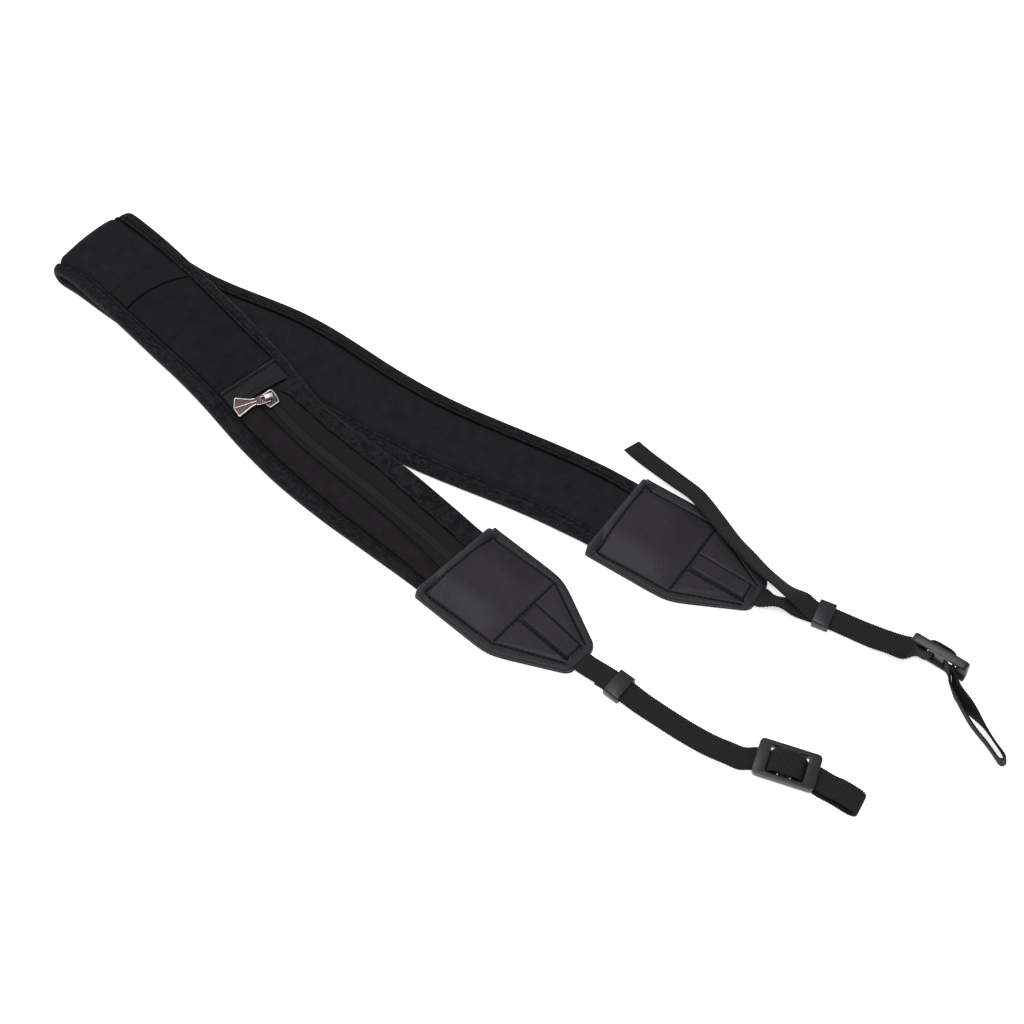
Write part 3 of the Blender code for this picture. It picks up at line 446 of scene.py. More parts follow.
def line_of(distance, reach):
    """1 on a line and 0 away from it, a bell curve of the distance: exp(-(d / reach)^2)."""
    return np.exp(-(distance / reach)**2)


def half_round(distance, middle, radius):
    """Height of a half round across a distance: sqrt(1 - ((d - middle) / radius)^2)."""
    return np.sqrt(np.clip(1 - ((distance - middle) / radius)**2, 0, 1))


def quarter_round(distance, radius):
    """Rise of a rounded edge, from 0 at the edge to 1 at a radius from it and beyond."""
    return half_round(np.minimum(distance, radius), radius, radius)


def ripple(x, y, seed):
    """Slow uneven wave between about -1 and 1: four sines of unlike pitch and direction."""
    rule = np.random.default_rng(seed)
    total = 0.0
    for pitch in (17.0, 11.0, 29.0, 7.3):
        turn = rule.uniform(0, TURN)
        total = total + np.sin((x * np.cos(turn) + y * np.sin(turn)) * TURN / pitch + rule.uniform(0, 6.28))
    return total / 4


print("surface tools ready")

# %% [markdown]
# ## The line of the band
#
# On the table the band runs in two gentle curves that meet in the fold.  Each is a cubic spline
# through a few places.  Tables give its half width and the height of its two edges, because
# the near half leans on the far half.

# %% Splines and tables
def spline(stations, values, first=None, last=None):
    """Cubic spline through rows of values, with given end slopes or free ends."""
    t = np.asarray(stations, float)
    v = np.asarray(values, float)
    step = np.diff(t)
    chord = np.diff(v, axis=0) / step[:, None]
    count = len(t)
    matrix = np.zeros((count, count))
    right = np.zeros_like(v)
    for i in range(1, count - 1):
        matrix[i, i - 1:i + 2] = step[i], 2 * (step[i - 1] + step[i]), step[i - 1]
        right[i] = 3 * (step[i] * chord[i - 1] + step[i - 1] * chord[i])
    matrix[0, :2] = (2, 1) if first is None else (1, 0)
    right[0] = 3 * chord[0] if first is None else first
    matrix[-1, -2:] = (1, 2) if last is None else (0, 1)
    right[-1] = 3 * chord[-1] if last is None else last
    slope = np.linalg.solve(matrix, right)

    def at(place):
        i = np.clip(np.searchsorted(t, place, side="right") - 1, 0, count - 2)
        h = step[i][:, None]
        u = ((place - t[i]) / step[i])[:, None]
        return ((2 * u**3 - 3 * u**2 + 1) * v[i] + (u**3 - 2 * u**2 + u) * h * slope[i]
                + (3 * u**2 - 2 * u**3) * v[i + 1] + (u**3 - u**2) * h * slope[i + 1])

    return at


def columns(*rows):
    """Columns of a table that is written row by row."""
    return np.array(rows, float).T


def reading(s, table, column, reach=4.0):
    """Column of a table at s with its corners rounded: the mean of readings within a reach."""
    return np.mean([np.interp(s + d, table[0], table[column]) for d in np.linspace(-reach, reach, 9)], axis=0)


NEAR_ROUTE = ((-26.4, -25.6), (-65.9, 8.9), (-95.7, 36.2), (-117.5, 63.4), (-147.3, 97.6), (-193.2, 143.8))
FAR_ROUTE = ((42.0, -2.7), (1.2, 20.8), (-37.1, 40.5), (-70.8, 63.3), (-104.5, 86.9), (-146.6, 107.4),
             (-193.2, 143.8))
NEAR_HEADING = 136.8
FAR_HEADING = 144.8
FOLD_HEADING = 140.1
# station from the mouth, half width of the near half, half width of the far half
WIDTHS = columns((0, 19.3, 18.9), (50, 20.5, 19.2), (92, 19.7, 19.9), (125, 21.0, 20.5),
                 (165, 22.5, 21.8), (215, 23.2, 23.2), (300, 23.2, 23.2))
# station, then the height of the underside: near left, near right, far left, far right
RESTS = columns((-20, 1.6, 1.6, 1.6, 1.6), (0, 1.6, 1.6, 1.6, 1.6), (12, 0.3, 1.4, 0, 0), (22, 0, 3.0, 0, 0),
                (38, 0, 5.6, 0, 0), (62, 0, 6.8, 0, 0), (84, 0.4, 7.4, 0, 0), (104, 1.8, 7.8, 0, 0),
                (125, 3.8, 7.2, 0, 0), (150, 5.5, 6.0, 0, 0), (200, 5.5, 5.5, 0, 0), (216, 6.2, 6.2, 0, 0),
                (239, 7.2, 7.2, 0, 0))
# station, edge of the side panel, middle of the coil, lip of the zip's flap
ZIP = columns((-6, 6.4, -0.6, -8.3), (10, 5.1, -1.0, -8.7), (28, 3.4, -1.6, -9.6), (50, 2.3, -2.6, -11.6),
              (72, 1.5, -3.2, -12.1), (92, 1.2, -3.2, -12.3), (104, 1.6, -3.2, -11.2),
              (109, 1.9, -3.2, -10.2), (114.2, 2.1, -3.2, -7.9))
print("tables of", WIDTHS.shape[1], "widths and", RESTS.shape[1], "heights")

# %% [markdown]
# A place on the band is given by a station along it, a distance across it and a height over
# its middle plane.  The class below turns whole arrays of the three into places in space, and
# everything on the band, from the pad to the last stitch, is placed through it.

# %% Places on the band
HALF_THICK = 2.6
HALF_WIDTH = 23.2                            # at the fold
FOLD_RADIUS = 3.6
ARC = np.pi * FOLD_RADIUS
TUCKED = 20                                  # length of the line inside the patch


def compass(degrees):
    """Level direction at an angle from X."""
    return np.array([np.cos(radians(degrees)), np.sin(radians(degrees)), 0.0])


def fold_bow(distance, across):
    """The fold is bowed: its edges lie back from its middle, less so further from the fold.

    The bow is 1.2 - (2.9 - 0.5 e) e^2 for a share e of the half width, eased out over 20 mm.
    The bindings lie back a little more, and the left one is spread outwards.
    """
    edge = across / HALF_WIDTH
    near = ease(1 - distance / 20.0)
    bow = (1.2 - (2.9 - 0.5 * edge) * edge**2 - 0.9 * ease((np.abs(across) - 15.5) / 2.0)) * near
    spread = 0.9 * ease((across - 13.0) / 7.0) * near
    return compass(FOLD_HEADING) * bow[..., None] + compass(FOLD_HEADING + 90) * spread[..., None]


class Half:
    """One half of the band, from the mouth of its patch to the fold."""

    def __init__(self, route, mouth_heading, far):
        start = compass(mouth_heading)[:2]
        points = np.array(route, float)
        chords = travelled(points)
        line = spline(chords, points, start, compass(FOLD_HEADING)[:2])(np.linspace(0, chords[-1], 400))
        self.line = np.vstack([line[0] - start * TUCKED, line])
        self.station = travelled(self.line) - TUCKED
        self.heading = np.gradient(self.line, self.station, axis=0)
        self.length = self.station[-1]
        self.far = far

    def width(self, s):
        return reading(s, WIDTHS, 2 if self.far else 1)

    def frame(self, s):
        """Middle, left direction and up direction at stations s."""
        middle, along = (np.stack([np.interp(s, self.station, row) for row in rows.T], -1)
                         for rows in (self.line, self.heading))
        along = unit(along)
        left_way = np.stack([-along[..., 1], along[..., 0], np.zeros(s.shape)], -1)
        left, right = (reading(s, RESTS, (3 if self.far else 1) + k) for k in (0, 1))
        lean = np.arcsin((left - right) / (2 * self.width(s)))[..., None]
        across = left_way * np.cos(lean) + UP * np.sin(lean)
        up = UP * np.cos(lean) - left_way * np.sin(lean)
        base = np.concatenate([middle, ((left + right) / 2)[..., None]], -1)
        return base + up * (HALF_THICK * self.squeeze(s))[..., None], across, up

    def squeeze(self, s):
        """Share of the thickness that is left towards the patch and inside it."""
        return (0.62 + 0.38 * ease(s / 14.0)) * (0.45 + 0.55 * ease((s + 7.0) / 7.0))

    def place(self, s, u, h):
        """Places at station s, distance u across and height h, all arrays of one shape."""
        s, u, h = np.broadcast_arrays(np.asarray(s, float), u, h)
        middle, across, up = self.frame(s)
        side = -1.0 if self.far else 1.0
        spot = middle + across * u[..., None] + up * (side * h * self.squeeze(s))[..., None]
        return spot + fold_bow(self.length - s + ARC / 2, u)


NEAR = Half(NEAR_ROUTE, NEAR_HEADING, False)
FAR = Half(FAR_ROUTE, FAR_HEADING, True)
FOLD = NEAR.length + ARC / 2
FAR_START = NEAR.length + ARC
WHOLE = FAR_START + FAR.length
print("near half", round(NEAR.length, 1), "mm, far half", round(FAR.length, 1), "mm")


def band_place(t, u, h):
    """Places on the whole band; t runs from the near mouth over the fold to the far mouth."""
    t, u, h = np.broadcast_arrays(np.asarray(t, float), u, h)
    spot = np.empty(t.shape + (3, ))
    near = t <= NEAR.length
    far = t >= FAR_START
    bend = ~(near | far)
    spot[near] = NEAR.place(t[near], u[near], h[near])
    spot[far] = FAR.place(WHOLE - t[far], u[far], h[far])
    turn = ((t[bend] - NEAR.length) / FOLD_RADIUS)[..., None]
    ahead = np.append(unit(NEAR.heading[-1]), 0.0)
    sideways = np.array([-ahead[1], ahead[0], 0.0])
    centre = np.append(NEAR.line[-1], 2 * HALF_THICK + 1.0)
    outward_way = ahead * np.sin(turn) + UP * np.cos(turn)
    spot[bend] = (centre + outward_way * (FOLD_RADIUS + h[bend])[..., None] + sideways * u[bend][..., None]
                  + fold_bow(np.abs(turn[..., 0] / np.pi - 0.5) * ARC, u[bend]))
    return spot


def band_width(t):
    """Half width of the whole band at t."""
    return np.where(t < FOLD, NEAR.width(t), FAR.width(WHOLE - t))


# %% [markdown]
# ## The padded core
#
# Foam between two cloths, sewn down along both edges.  The cloth dips at the seams and stands
# a little proud between them.  A flat slab would look like card, so the height of either face
# is a function of the distance from the seam, with a slow ripple where the foam has settled.

# %% Core
LIP = 6.7                                    # reach of a binding over the band's inner face
POCKET_END = 207.0
COVERED = 1.5                                # height of the core under the pocket's layers
CORE_INSET = 1.7                             # from the band's edge to the core's
CORE_TUCKED = 14.8                           # half width of the core inside a patch
LYING = 2.57                                 # most that a face rises where it lies on something
FREE = 2.72                                  # and where it doesn't
DARK_REACH = 0.45                            # of the dark line along a seam
# station, then the reach of the left and of the right binding over the outer face
OUTER_LIPS = columns((0, 4.8, 4.8), (40, 6.6, 4.4), (73, 7.9, 4.2), (114, 7.8, 4.1), (125, 7.8, 4.8),
                     (152, 7.3, 6.5), (195, 6.9, 6.1), (223, 7.0, 6.8), (233, 4.9, 7.1), (240, 4.0, 7.2),
                     (252, 4.4, 7.0), (270, 6.7, 6.7))


def outer_lip(t, side):
    """Reach of the left (side 1) or right (side -1) binding over the outer face at t."""
    return reading(t, OUTER_LIPS, 1 if side > 0 else 2)


def pocket_bow(u):
    """How far the end of the pocket is bowed towards the fold: 1.89 + 0.103 u - 0.013 u^2."""
    return 1.89 + 0.103 * u - 0.013 * u**2


def core_height(t, u, inside, face):
    """Height of a face of the core: down at the seam, full inside it, flat where it lies down."""
    full = 1.5 + 1.1 * ease(inside / 2.6) + 0.12 * ease(inside / 12.0) * (face < 0)
    full = full + 0.08 * ripple(t, u, 3) * ease(inside / 5.0)
    covered = ease((POCKET_END + pocket_bow(u) - t) / 0.8) * (face > 0)
    under = (t > FOLD) == (face > 0)
    return face * np.minimum(full * (1 - covered) + COVERED * covered, np.where(under, LYING, FREE))


t = np.r_[np.arange(-13.0, NEAR.length), np.linspace(NEAR.length, FAR_START, 19),
          np.arange(FAR_START + 1.0, WHOLE, 1.6), np.arange(WHOLE + 0.5, WHOLE + 12.0, 1.6), WHOLE + 13.0]
share = np.r_[np.linspace(-1, -0.68, 11), np.linspace(-0.66, 0.66, 63), np.linspace(0.68, 1, 11)]
width = band_width(t)[:, None]
station = t[:, None]
u = np.where(np.minimum(station, WHOLE - station) > -3.0, width - CORE_INSET, CORE_TUCKED) * share
inside = width - LIP - np.abs(u)
outer_inside = width - np.where(u > 0, outer_lip(station, 1), outer_lip(station, -1)) - np.abs(u)
top = band_place(station, u, core_height(station, u, outer_inside, 1))
low = band_place(station, u, core_height(station, u, inside, -1))
# Painted shade on the core along the end of each binding's lip, where the lip sits over it.
seam_top, seam_low = (line_of(np.maximum(gap, 0.0), DARK_REACH) for gap in (outer_inside, inside))
core_mesh = two_sided("neck_pad_cloth", top, low, t, 300, np.hstack([seam_top, seam_low[:, ::-1]]))
core = dress(core_mesh, INNER_CLOTH, "neck_pad")

# %% [markdown]
# ## The edge bindings
#
# A strip of stretch cloth is folded round the edge and sewn through.  In section it is a C:
# two lips and a round outer edge.  The seam a little way in from each lip's end pulls it down
# into a groove with painted shade, and the cloth between groove and end stands up as a ridge
# with a painted highlight.  Beside the zip the right-hand lip is much wider and makes the flap
# over the zip's tape.

# %% Bindings
SEAM_IN = 1.5                                # from the end of a lip to its seam
SEAM_PITCH = 3.0
WALL = 1.75                                  # height of a binding's inner side
HOLLOW = 0.9                                 # place of its inner corners, from the edge and the middle
DARK_END = 0.34                              # reach of the dark line at a lip's end
# places on a lip from its end past the seam, close together where it curves most
LIP_END = np.array([0, 0.06, 0.2, 0.35, 0.5, 0.7, 0.9, 1.1, 1.25, 1.4, 1.55, 1.7, 1.9, 2.15, 2.5, 3.0])


def flap_lip(t):
    """Reach of the right-hand lip on the pocket's side, wider and a little wavy beside the zip."""
    flap = NEAR.width(t) + np.interp(t, ZIP[0], ZIP[3]) + 0.22 * np.sin(t * TURN / 11.0)
    wide = ease((115.4 - t) / 1.2)
    return outer_lip(t, -1) * (1 - wide) + flap * wide


def narrowed(lip):
    """Share by which the seam of a narrow lip lies nearer to its end."""
    return np.clip((lip - 2.7) / 3.0, 0.2, 1.0)


def lip_points(width, lip, sewn, dark):
    """Distance across, height and painted shade and light of a lip's outside, from its end to the edge.

    sewn is how deep the seam's groove is, dark the reach of the painted shade at the lip's end.
    """
    narrow = narrowed(lip)[:, None]
    rest = np.linspace(0, 1, 9)[1:]
    inside = np.hstack([LIP_END * narrow, 3.0 * narrow + rest * (lip[:, None] - HALF_THICK - 3.0 * narrow)])
    groove = line_of(inside / narrow - SEAM_IN, 0.38) * sewn[:, None] * narrow
    rounding = 0.75 * (1 - quarter_round(inside, 0.6))
    ridge = 0.14 * line_of(inside - 0.8, 0.35) * np.minimum(sewn * 2, 1.0)[:, None]
    # Painted shade at the lip's end and in the seam's groove, painted highlight on the ridge just inside.
    shade = np.maximum(line_of(inside, dark[:, None]), groove * 0.5)
    shade = shade - 0.3 * line_of(inside - 0.5 - dark[:, None], 0.35)
    return (width - lip)[:, None] + inside, HALF_THICK - rounding + ridge - 0.62 * groove, shade


def binding_rings(t, side):
    """C-shaped rings of a binding at stations t, and the painted shade and light of their outsides."""
    width = band_width(t)
    edge = width[:, None]
    thin = np.full(len(t), DARK_END)
    beside_zip = ease((118.0 - t) / 4.0)
    sewn = 0.75 + 0.2 * np.cos(t * TURN / SEAM_PITCH)
    # The left binding's rolled edge gets painted light from the floor below, the right one painted shade
    # where it lies against the other half.  Beside the zip the painted shade at the lip's end is wider: along
    # the side panel on the left and at the flap's edge on the right.
    if side > 0:
        lip, top_sewn, dark, rim_shading_level = outer_lip(t, 1), sewn, thin + 0.50 * beside_zip, -0.45
    else:
        lip, top_sewn, dark, rim_shading_level = flap_lip(t), sewn * (1 - beside_zip), thin + 0.25 * beside_zip, 0.30
    top_u, top_h, top_shade = lip_points(width, lip, top_sewn, dark)
    low_u, low_h, low_shade = lip_points(width, np.full(len(t), LIP), sewn, thin)
    angle = np.radians(np.linspace(90, -90, 19)[1:-1])
    edge_u = edge - HALF_THICK + HALF_THICK * np.cos(angle)**0.85
    painted_rim_shading = np.broadcast_to(rim_shading_level * np.cos(angle)**3, edge_u.shape)
    inner = np.linspace(0, 1, 4)
    back_low_u = edge - LIP + 0.1 + inner * (LIP - 2.0)
    back_top_u = (width - lip)[:, None] + 0.1 + inner[::-1] * (lip[:, None] - 2.0)
    u = np.hstack([top_u, edge_u, low_u[:, ::-1], back_low_u, edge - HOLLOW, edge - HOLLOW, back_top_u])
    h = np.hstack([top_h, HALF_THICK * np.sin(angle) + 0 * edge, -low_h[:, ::-1],
                   np.array([-WALL] * 4 + [-HOLLOW, HOLLOW] + [WALL] * 4) + 0 * edge])
    t = t[:, None]
    gather = 0.05 * np.sin(t * TURN / SEAM_PITCH) + 0.16 * ripple(t * 1.6, u * 2.2, 8 + side)
    h = h + np.sign(h) * gather * line_of(np.abs(u) - (edge - 3.2), 2.2) * (np.abs(h) > 1.9)
    hidden = np.where(t < FOLD, -1.0, 1.0)
    h = np.where(h * hidden > HALF_THICK, hidden * HALF_THICK, h)
    return band_place(t, side * u, h), np.hstack([top_shade, painted_rim_shading, low_shade[:, ::-1]])


t = np.r_[np.arange(-3.4, NEAR.length, 0.7), np.linspace(NEAR.length, FAR_START, 21),
          np.arange(FAR_START + 0.7, WHOLE + 3.4, 0.7)]
for node, side in (("binding_left", 1), ("binding_right", -1)):
    rings, shade = binding_rings(t, side)
    dress(rings_mesh(node + "_cloth", rings, t, 400, shade), BINDING_CLOTH, node)

# %% [markdown]
# ## The layers of the pocket
#
# Panel, ribbon, side panel and the zip's tapes are flat layers on the near half.  Each is a
# closed sheet between two edges: its upper face rises from the seams and carries a low crown.
# One function makes them all from two edge lines, a thickness and a crown.

# %% A layer of cloth on the near half
COVER_BASE = 1.8
GAP = 0.15                                   # between a layer and a binding


def layer(node, stations, left, right, material, thick, crown=0.0, bow=None, seed=1, dip=1.1, count=33,
          sewn=(1.0, 1.0), lines=(1.0, 1.0)):
    """Sheet between edge lines left(s) and right(s), both as distances across.

    Its height is the base plus the thickness, eased down to half at the edges over the dip,
    plus a crown that grows with the distance from them.  bow(s, u) moves it along the band.
    sewn is how strong the painted shade at its first and last ends is, lines how strong the painted shade
    along its left and right edges.
    """
    s = stations[:, None]
    share = 0.5 - 0.5 * np.cos(np.linspace(0, np.pi, count))
    u = left(s) + (right(s) - left(s)) * share
    shift = bow(s, u) if bow else 0.0
    from_left = u - left(s)
    from_right = u - right(s)
    side = np.minimum(np.abs(from_left), np.abs(from_right))
    end = np.minimum(s - stations[0], stations[-1] - s)
    height = COVER_BASE + thick * (0.45 + 0.55 * ease(side / dip) * ease(end / dip + 0.15))
    height = height + crown * ease(side / 9.0) * ease(end / 14.0) * (1 + 0.35 * ripple(s, u, seed))
    # Painted shade along the edges and at the ends, where the layer meets the next one.
    shade = np.maximum(line_of(from_left, 0.40) * lines[0], line_of(from_right, 0.40) * lines[1])
    for gap, dark in ((s - stations[0], sewn[0]), (stations[-1] - s, sewn[1])):
        shade = np.maximum(shade, line_of(gap, 0.5) * dark)
    upper = NEAR.place(s + shift, u, height)
    lower = NEAR.place(s + shift, u, COVER_BASE - 0.05)
    dress(two_sided(node + "_cloth", upper, lower, stations, len(stations) // 2, shade), material, node)


def field_left(s):
    """Left edge of the open field between the two bindings."""
    return NEAR.width(s) - outer_lip(s, 1) - GAP


def field_right(s):
    """Right edge of the open field."""
    return outer_lip(s, -1) + GAP - NEAR.width(s)


def zip_line(column, beside=0.0):
    """Line beside one of the zip's lines, as a distance across."""
    return lambda s: np.interp(s, ZIP[0], ZIP[column]) + beside


panel_rows = np.r_[128.2, 128.35, 128.7, 129.3, np.arange(130, 192.6, 1.2),
                   193.0, 193.5, 193.9, 194.2, 194.45, 194.6, 194.7]
layer("pocket_panel", panel_rows, field_left, field_right, PANEL_CLOTH, thick=0.85,
      crown=0.95, bow=lambda s, u: pocket_bow(u) * ease((s - 160) / 34), seed=11, dip=2.0)
ribbon_rows = np.r_[194.9, 195.05, 195.3, 195.6, np.arange(196, 206.0, 0.8), 206.3, 206.6]
layer("pocket_ribbon", ribbon_rows, field_left, field_right, RIBBON_CLOTH, thick=0.78,
      crown=0.10, bow=lambda s, u: pocket_bow(u), seed=12, dip=0.6, sewn=(1.0, 0.0))
side_rows = np.arange(-5.0, 114.5, 1.2)
layer("side_panel", side_rows, field_left, zip_line(1), SIDE_CLOTH, thick=0.85, crown=1.0,
      seed=13, dip=2.4, lines=(1.0, 0.55))
# Painted shade at the side panel's edge on the left tape, painted shadow under the flap's edge on the right
# tape.
for node, left, right, lines in (("zip_tape_left", zip_line(1, -0.1), zip_line(2, 1.8), (0.5, 0.0)),
                                 ("zip_tape_right", zip_line(2, -1.8), zip_line(3, -0.2), (0.0, 1.0))):
    layer(node, side_rows, left, right, TAPE_CLOTH, thick=0.7, dip=0.5, count=17, lines=lines)

# %% [markdown]
# ## The zip
#
# The teeth of a nylon zip are one wire wound into a flat spiral.  Seen from above, the closed
# zip is a low hump of slanting turns from both sides that mesh in the middle.  A wound wire
# would cost too many faces for something this small, so the hump is a strip whose height
# follows the turns: a chevron wave along it.

# %% Coil
COIL_HALF = 2.2
COIL_PITCH = 1.25
coil_rows = np.arange(-5.0, 114.4, 0.25)
s = coil_rows[:, None]
across = np.linspace(-COIL_HALF, COIL_HALF, 17)[None, :]
off = np.abs(across)
turn = np.cos((s + off * 0.35) * TURN / COIL_PITCH + np.where(across > 0, np.pi, 0.0))
hump = 1 - (off / 2.35)**4 - 0.16 * line_of(across, 0.3)
height = COVER_BASE + hump + 0.07 * turn * ease((COIL_HALF - off) / 0.5) * ease(off / 0.35)
u = zip_line(2)(s) + across
coil = two_sided("zip_coil_teeth", NEAR.place(s, u, height), NEAR.place(s, u, COVER_BASE), coil_rows, 100)
dress(coil, COIL_NYLON, "zip_coil")

# %% [markdown]
# A smooth band is sewn across the head of the zip.  Both of its long edges are piped: a thin
# cord is folded into the leather.  Its section along the strap is flat with a round bead at
# either end, and the edge beside the zip bows a little towards the fold.

# %% Band across the zip's head
BAND_START = 115.2
BAND_END = 128.0
TOP_BEAD = 0.8                               # radius, and place from the end towards the fold
TOP_SEAM = 1.95                              # place from that end
LOW_BEADS = (0.6, 1.9)                       # places from the end at the zip
LOW_RADIUS = 0.6
LOW_SEAM = 2.8
share = np.linspace(0, 1, 49)[:, None]
run = np.linspace(0, 1, 65)[None, :]
start = BAND_START + 1.6 * (1 - (2 * share - 1)**2)
s = start + (BAND_END - start) * run
u = field_left(start) * (1 - share) + field_right(start) * share
near_end = s - start
far_end = BAND_END - s
bead = 0.9 * half_round(far_end, TOP_BEAD, TOP_BEAD)
bead = bead + 0.75 * sum(half_round(near_end, place, LOW_RADIUS) for place in LOW_BEADS)
height = COVER_BASE + np.maximum(0.95 + 0.22 * np.sin(np.pi * run) + 0.06 * ripple(s, u, 21), 0.62 + bead)
height = height - 0.30 * line_of(far_end - TOP_SEAM, 0.3) - 0.25 * line_of(near_end - LOW_SEAM, 0.3)
height = height - 0.6 * (1 - ease(np.minimum(share, 1 - share) / 0.03))
# Painted shade in the grooves of both seams and between the two low beads, painted highlights along the
# beads.
shade = np.maximum(line_of(far_end - TOP_SEAM, 0.35), line_of(near_end - LOW_SEAM, 0.3) * 0.6)
shade = np.maximum(shade, line_of(near_end - sum(LOW_BEADS) / 2, 0.2) * 0.7)
shade = shade - 0.9 * line_of(far_end - TOP_BEAD, 0.5)
shade = shade - 0.6 * sum(line_of(near_end - place, 0.4) for place in LOW_BEADS)
band = two_sided("zip_head_band_leather", NEAR.place(s, u, height), NEAR.place(s, u, COVER_BASE),
                 share[:, 0] * 36, 20, shade)
dress(band, BAND_LEATHER, "zip_head_band")

# %% [markdown]
# ## Stitches
#
# A stitch is a short thread that dives into the cloth at both ends.  Each one is a bent tube
# of five rings.  One template is turned and placed along a line for all the stitches of a
# seam at once: place plus tangent, side and normal times the template's three coordinates.

# %% Rows of stitches
RINGS = 5
SIDES = 6


def stitch_row(name, places, normals, pitch, length, radius, lift=0.0):
    """Stitches along a dense line of places in layout millimetres, with the cloth's normals."""
    travel = travelled(places)
    middles = np.arange(pitch / 2, travel[-1] - pitch / 3, pitch)

    def read(values, at):
        return np.stack([np.interp(at, travel, column) for column in values.T], -1)

    tangent = unit(read(places, middles + length / 2) - read(places, middles - length / 2))
    sideways = unit(np.cross(read(normals, middles), tangent))
    normal = np.cross(tangent, sideways)
    turn = np.arange(SIDES) * TURN / SIDES
    size = np.array([0.6, 1.0, 1.0, 1.0, 0.6])[:, None] * radius
    arch = np.array([-1.1, 0.35, 0.75, 0.35, -1.1])[:, None] * radius + lift
    x = np.array([-0.5, -0.36, 0.0, 0.36, 0.5])[:, None] * length + 0 * turn
    points = read(places, middles)[:, None, None]
    for way, reach in ((tangent, x), (sideways, size * np.cos(turn)), (normal, arch + size * np.sin(turn))):
        points = points + way[:, None, None] * reach[..., None]
    i, j = ring_corners(RINGS, SIDES)
    quads = (i * SIDES + j % SIDES).reshape(-1, 4)
    offsets = np.arange(len(middles)) * RINGS * SIDES
    caps = [list(range(SIDES))[::-1], list(range((RINGS - 1) * SIDES, RINGS * SIDES))]
    faces = (quads + offsets[:, None, None]).reshape(-1, 4).tolist()
    faces += [[v + int(o) for v in cap] for o in offsets for cap in caps]
    mesh = bpy.data.meshes.new(name)
    mesh.from_pydata(((points.reshape(-1, 3) - MIDDLE) * MM).tolist(), [], faces)
    dress(outward(mesh), THREAD, None)


seam_t = np.arange(-1.0, WHOLE + 1.0, 0.5)
for word, side in (("left", 1), ("right", -1)):
    for facing, face in (("outer", 1), ("inner", -1)):
        t = seam_t[seam_t > (117.0 if side < 0 < face else -1.0)]
        lip = outer_lip(t, side) if face > 0 else np.full(len(t), LIP)
        u = side * (band_width(t) - lip + SEAM_IN * narrowed(lip))
        h = face * np.full(len(t), HALF_THICK - 0.52)
        spot = band_place(t, u, h)
        normal = unit(spot - band_place(t, u, h * 0.5))
        stitch_row(f"seam_{word}_{facing}", spot, normal, SEAM_PITCH, length=2.4,
                   radius=0.17)

# %% [markdown]
# ## The leather end patches
#
# Two leathers are sewn face to face over the band's end.  The upper one is moulded over the
# padding, so inside its stitching it rises in a soft square crown, and towards the tip it
# drops to the webbing, which shows as a raised middle strip.  The border outside the stitches
# is rolled.  The surface is a height over a grid whose rows follow the outline.

# %% Outline and stitch lines of a patch
PATCH_LENGTH = 70.0
PATCH_HALF = 22.9
SHOULDER = 39.7
TIP_HALF = 7.4
LEATHER = 1.3
SLOPE = (PATCH_HALF - TIP_HALF) / (PATCH_LENGTH - SHOULDER)
CROSS_SEAM = 38.0
# place along, then the rise of the crown over the border
CROWN = columns((0, 3.5), (3, 3.6), (6, 3.7), (15, 3.7), (24, 3.2), (33, 2.4), (38.5, 1.7), (43, 1.5),
                (60, 1.5), (70, 1.4))
# corners of the stitching as (along, across): the square, then the strip over the webbing;
# then the slant of the mouth and how far the outline lies aside and is wider
NEAR_SEWN = (((2.3, -19.6), (4.6, 19.2), (37.9, 20.2), (38.0, -18.1)),
             ((38.0, -2.8), (65.3, -3.7), (65.6, 4.9), (38.3, 7.5)), 0.045, 0.60, 0.50)
FAR_SEWN = (((3.8, -20.3), (3.0, 18.6), (38.4, 19.0), (38.0, -19.2)),
            ((38.2, -6.0), (65.4, -6.2), (64.8, 2.4), (39.0, 3.3)), 0.030, 0.30, 0.40)


def mouth_slant(x, y, sewn):
    """How far a place is pulled along the patch because its mouth is cut at a slant."""
    return (sewn[2] * y - 0.3) * (1 - ease(x / 25.0))


def stitch_lines(sewn):
    """Straight lines of stitches of a patch, as (x0, y0, x1, y1)."""
    square, strip = sewn[:2]
    tip = ((66.0, strip[1][1] - 1.7), (66.1, strip[2][1] + 1.6))
    pairs = [(square[k], square[(k + 1) % 4]) for k in range(4)]
    pairs += [(square[3], tip[0]), (square[2], tip[1]), (strip[0], strip[1]), (strip[1], strip[2]),
              (strip[3], strip[2])]
    return [(*first, *last) for first, last in pairs]


def patch_half(x):
    """Half width along the patch, with round corners at the mouth and the tip."""
    half = -1.2 * np.logaddexp(-PATCH_HALF / 1.2, -(PATCH_HALF - SLOPE * (x - SHOULDER)) / 1.2)
    for corner, end in ((1.0, x), (2.8, PATCH_LENGTH - x)):
        half = half - corner * (1 - quarter_round(end, corner))
    return half


def seam_shade(x, y, sewn, reach):
    """1 on the stitch lines of a patch and 0 away from them."""
    shade = 0.0
    for x0, y0, x1, y1 in stitch_lines(sewn):
        length = np.hypot(x1 - x0, y1 - y0)
        way_x, way_y = (x1 - x0) / length, (y1 - y0) / length
        along = np.clip((x - x0) * way_x + (y - y0) * way_y, 0, length)
        shade = np.maximum(shade, line_of(np.hypot(x - x0 - along * way_x, y - y0 - along * way_y), reach))
    return shade


print("patch is", PATCH_LENGTH, "by", 2 * PATCH_HALF, "mm")

# %% [markdown]
# The height of the upper leather is a sum: the rolled border, the crown over the pad, the open
# mouth, the strip over the webbing, and the grooves that the stitches pull.

# %% Height of a patch
def swell(distance, reach):
    """Rise of a stuffed surface away from its seam: sin(pi/2 d / reach), then level."""
    return np.sin(np.pi / 2 * np.clip(distance / reach, 0.0, 1.0))


def seam_at(x, ends, corner, other):
    """Distance across of the seam between two corners, at x between its ends."""
    return np.interp(x, ends, (corner[1], other[1]))


